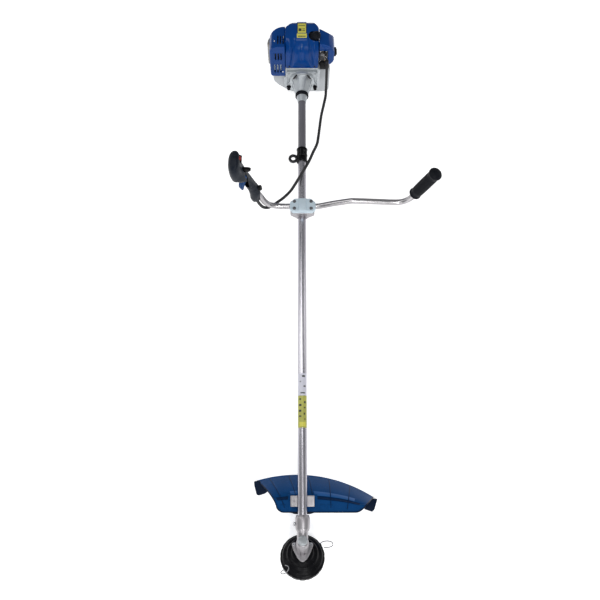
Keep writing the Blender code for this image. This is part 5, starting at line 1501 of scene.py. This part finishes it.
def build_carburettor():
    body = slab((CARB_X - 0.014, 0.87, 0.057), (CARB_X + 0.0135, 0.918, 0.11), 0.0022)
    bowl = moved(cylinder(0.013, 0.048, 0.06, 40), (CARB_X, 0.89, 0))
    flange = slab((0.043, 0.8965, 0.07), (0.062, 0.9175, 0.099), 0.001)
    body = joined(body, bowl, flange)
    body = cut(body, moved(cylinder(0.0095, 0.04, 0.056, 40), (CARB_X, 0.89, 0)),
               moved(cylinder(0.009, 0.04, 0.1, 40), (0, 0.905, 0.085), RIGHT))
    piece("carburettor_body", body, "cast_dark", replaces=["carburettor"])
    screws = [cross_screw((CARB_X - 0.0105, 0.87, 0.105), BACK, 0.0026)]
    screws += [cross_screw((CARB_X + 0.01, 0.87, z), BACK, 0.0026) for z in (0.0625, 0.081, 0.105)]
    screws.append(cross_screw((CARB_X - 0.01, 0.87, 0.064), BACK, 0.0024))
    piece("carburettor_screws", screws, "chrome")
    bracket = [
        (0.06, 0.058), (0.06, 0.033), (0.066, 0.024), (0.09, 0.024), (0.0955, 0.03), (0.0955, 0.056),
        (0.09, 0.058)
    ]
    bracket = plate(bracket, 0.866, 0.868, 0.0008)
    shelf = slab((0.064, 0.8665, 0.056), (0.084, 0.879, 0.058), 0.0006)
    piece("cable_bracket", [bracket, shelf], "black")
    coil = []
    for k in range(61):
        a = 2 * math.pi * k / 10
        coil.append((CARB_X + 0.0055 + 0.0022 * math.cos(a), 0.8668 + 0.0022 * math.sin(a),
                     0.07 + 0.014 * k / 60))
    piece("idle_spring", rod(coil, 0.0004, 8, 2), "chrome")
    stem = rod([(CARB_X + 0.0055, 0.8668, 0.066), (CARB_X + 0.0055, 0.8668, 0.077),
                (CARB_X + 0.0055, 0.8668, 0.086)], 0.001, 12, 2)
    piece("idle_screw", stem, "bronze")
    lever = [
        (-0.004, 0.005), (-0.0046, 0), (-0.004, -0.005), (0.0035, -0.0055), (0.012, -0.0195), (0.015, -0.02),
        (0.017, -0.018), (0.0085, 0.001), (0.004, 0.005), (0, 0.0056)
    ]
    lever = plate(lever, -0.0013, 0.0013, 0.0004, 2)
    hub = along(turned([(0, -0.0032), (0.0028, -0.0032), (0.0032, -0.0026), (0.0032, 0.0013), (0, 0.0013)],
            24))
    pivot = Vector((0.069, 0.868, 0.093))
    piece("throttle_arm", moved(merged(lever, hub), pivot), "dark_steel", "carb_lever",
          ["carb_throttle_lever"])
    choke = [
        (-0.0045, 0.005), (-0.005, 0.0), (-0.0045, -0.005), (0.002, -0.0265), (0.005, -0.0285),
        (0.0085, -0.027), (0.005, 0.005)
    ]
    choke = eased(prism(choke, -0.0012, 0.0012), 0.0004, 2)
    piece("choke_arm", moved(choke, (CARB_X, 0.883, 0.1128)), "black", "choke", ["choke_lever"])
    bulb = [
        (0, -0.01), (0.003, -0.0097), (0.0055, -0.0085), (0.0074, -0.0062), (0.0082, -0.0034),
        (0.0084, -0.0012), (0.0087, 0.0), (0, 0.0)
    ]
    piece("primer_dome", moved(turned(bulb, 40), (CARB_X, 0.89, 0.0505)), "rubber", "primer", ["primer_bulb"])


def build_plug():
    boot = [
        (0.0075, 0.024), (0.0118, 0.024), (0.0124, 0.0252), (0.0124, 0.033), (0.0128, 0.0345),
        (0.0124, 0.036), (0.013, 0.044), (0.0134, 0.0455), (0.013, 0.047), (0.0135, 0.056), (0.0141, 0.06),
        (0.0138, 0.064), (0.0128, 0.0685), (0.0105, 0.0725), (0.0072, 0.0745), (0.005, 0.075), (0, 0.075),
        (0, 0.05), (0.0062, 0.049), (0.0075, 0.042)
    ]
    piece("plug_cap", moved(turned(boot, 48), PLUG_ROOT, PLUG_WAY), "rubber", replaces=["plug_boot"])


# ---- starter, tank, stand ----
def build_starter():
    dome = [
        (0.0505, 0.9603), (0.051, 0.962), (0.051, 0.97), (0.0505, 0.9712), (0.0505, 0.995), (0.0496, 0.999),
        (0.045, 1.011), (0.043, 1.0128), (0.029, 1.0172), (0.027, 1.018), (0, 1.018), (0, 1.0145),
        (0.0265, 1.014), (0.042, 1.0088), (0.047, 0.994), (0.0475, 0.9603)
    ]
    shell = along(turned(dome, 96))
    slots = []
    for k in range(16):
        slot = block((0.032, -0.0016, 0.99), (0.0425, 0.0016, 1.025))
        slots.append(along(moved(slot, turn=math.radians(22.5 * k))))
    slots.append(moved(cylinder(0.0042, 0.03, 0.08, 24), (0, 0.99, 0.03), RIGHT))
    piece("recoil_housing", cut(shell, *slots), "black", replaces=["starter_housing"], angle=30)
    screws = []
    for k in range(4):
        a = math.radians(45 + 90 * k)
        screws.append(cross_screw((0.0478 * math.cos(a) * 0.62, 1.015, 0.0478 * math.sin(a) * 0.62), ALONG,
                0.003))
    piece("recoil_screws", screws, "chrome")
    bezel = moved(turned([(0.0042, 0.0485), (0.0075, 0.0485), (0.0075, 0.052), (0.006, 0.0532),
            (0.0042, 0.0532)], 32), (0, 0.99, 0.03), RIGHT)
    piece("rope_bezel", bezel, "black_oxide")
    bar = rounded_outline((-0.0088, -0.0235), (0.007, 0.0235), (0.005, 0.0068, 0.0068, 0.005), 6)
    grip = plate(bar, -0.0065, 0.0065, 0.0026, 4)
    ribs = [slab((-0.004, -0.0069, z), (0.005, 0.0069, z + 0.0016), 0.0005)
            for z in (-0.016, -0.011, 0.0094, 0.0144)]
    rope = moved(cylinder(0.0018, -0.066, 0.0, 16), (-0.002, 0, 0), RIGHT)
    piece("pull_grip", moved(merged(grip, *ribs), (0.072, 0.99, 0.03)), "black", "pull_handle",
          ["starter_grip"])
    piece("pull_rope", moved(rope, (0.072, 0.99, 0.03)), "line", "pull_handle")


def tank_outline():
    points = [
        (-0.106, -0.048), (-0.104, -0.062), (-0.088, -0.083), (-0.07, -0.097), (-0.052, -0.11),
        (-0.038, -0.118)
    ]
    points += arc((0.086, -0.102), 0.016, 270, 360, 6)
    points += arc((0.09, -0.008), 0.012, 0, 90, 6)
    return points + arc((-0.094, -0.008), 0.012, 90, 180, 6)


def tank_saddle():
    """The room in the tank's top for the engine."""
    outline = rounded_outline((-0.064, -0.064), (0.064, 0.06), (0.02, 0.02, 0.001, 0.001), 6)
    return facing_y(prism(outline, 0.8, 1.1))


def build_tank():
    shell = plate(tank_outline(), 0.886, 1.04, 0.007, 5, 40)
    shell = cut(shell, tank_saddle())
    piece("tank_shell", shell, "tank", replaces=["fuel_tank"])
    grown = [(x * 1.01 - 0.0002, (z + 0.06) * 1.01 - 0.06) for x, z in tank_outline()]
    band = facing_y(prism(grown, 0.9618, 0.9642))
    piece("tank_seam", cut(eased(band, 0.0005, 2, 60), tank_saddle()), "tank")
    cap = [
        (0, 1.0403), (0.015, 1.0403), (0.0165, 1.0412), (0.0165, 1.051), (0.0156, 1.0528), (0.013, 1.0535),
        (0.0118, 1.0526), (0, 1.0526)
    ]

    def knurl(angle, height):
        return 1 - 0.05 * (1.041 < height < 1.052) * max(0.0, math.cos(20 * angle)) ** 2

    body = moved(turned(cap, 120, knurl), (-0.085, 0, -0.03), ALONG)
    rib = slab((-0.01, -0.002, 1.0515), (0.01, 0.002, 1.0535), 0.0006)
    piece("fuel_cap_grip", [body, moved(rib, (-0.085, 0, -0.03), ALONG)], "black", "fuel_cap", ["tank_cap"])


def build_stand():
    deck = slab((-0.045, 0.896, -0.1225), (0.085, 1.03, -0.1183), 0.0016)
    feet = [slab((x - 0.008, 0.898, -0.125), (x + 0.008, 1.028, -0.122), 0.001)
            for x in (-0.034, 0.02, 0.074)]
    piece("stand_plate", [deck, *feet], "black", replaces=["tank_stand"])
    screws = [cross_screw((x, y, -0.1225), (0, 0, -1), 0.0016) for x in (-0.01, 0.05) for y in (0.915, 1.01)]
    piece("stand_screws", screws, "chrome")


# ---- CAD nodes that stay: the inner parts ----
KEPT = {
    "steel": ["drive_shaft", "pinion", "output_gear", "output_shaft", "output_bearing", "drum_bearing",
              "clutch_drum", "clutch_hub", "clutch_shoe_upper", "clutch_shoe_lower", "crankshaft",
              "connecting_rod"],
    "cast": ["flywheel", "piston", "cylinder"],
    "bronze": ["shaft_bush"],
    "porcelain": ["spark_plug"],
    "black": ["line_spool"],
}


def dress_kept_nodes():
    for look, nodes in KEPT.items():
        for node in nodes:
            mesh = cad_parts[node].data
            mesh.materials.clear()
            mesh.materials.append(LOOKS[look][0])


LOOKS = make_looks()
build_camera()
build_line_end("line_right", LINE_RIGHT)
build_line_end("line_left", LINE_LEFT)
build_studio()
build_shaft()
build_collar()
build_harness_clamp()
build_bars()
build_grip()
build_bracket()
build_handle()
build_cable()
build_guard()
build_guard_clamp()
build_gear_head()
build_line_head()
build_clutch_housing()
build_castings()
build_centre_cover()
build_cover_labels()
build_muffler_cover()
build_muffler()
build_filter_cover()
build_carburettor()
build_plug()
build_starter()
build_tank()
build_stand()
dress_kept_nodes()
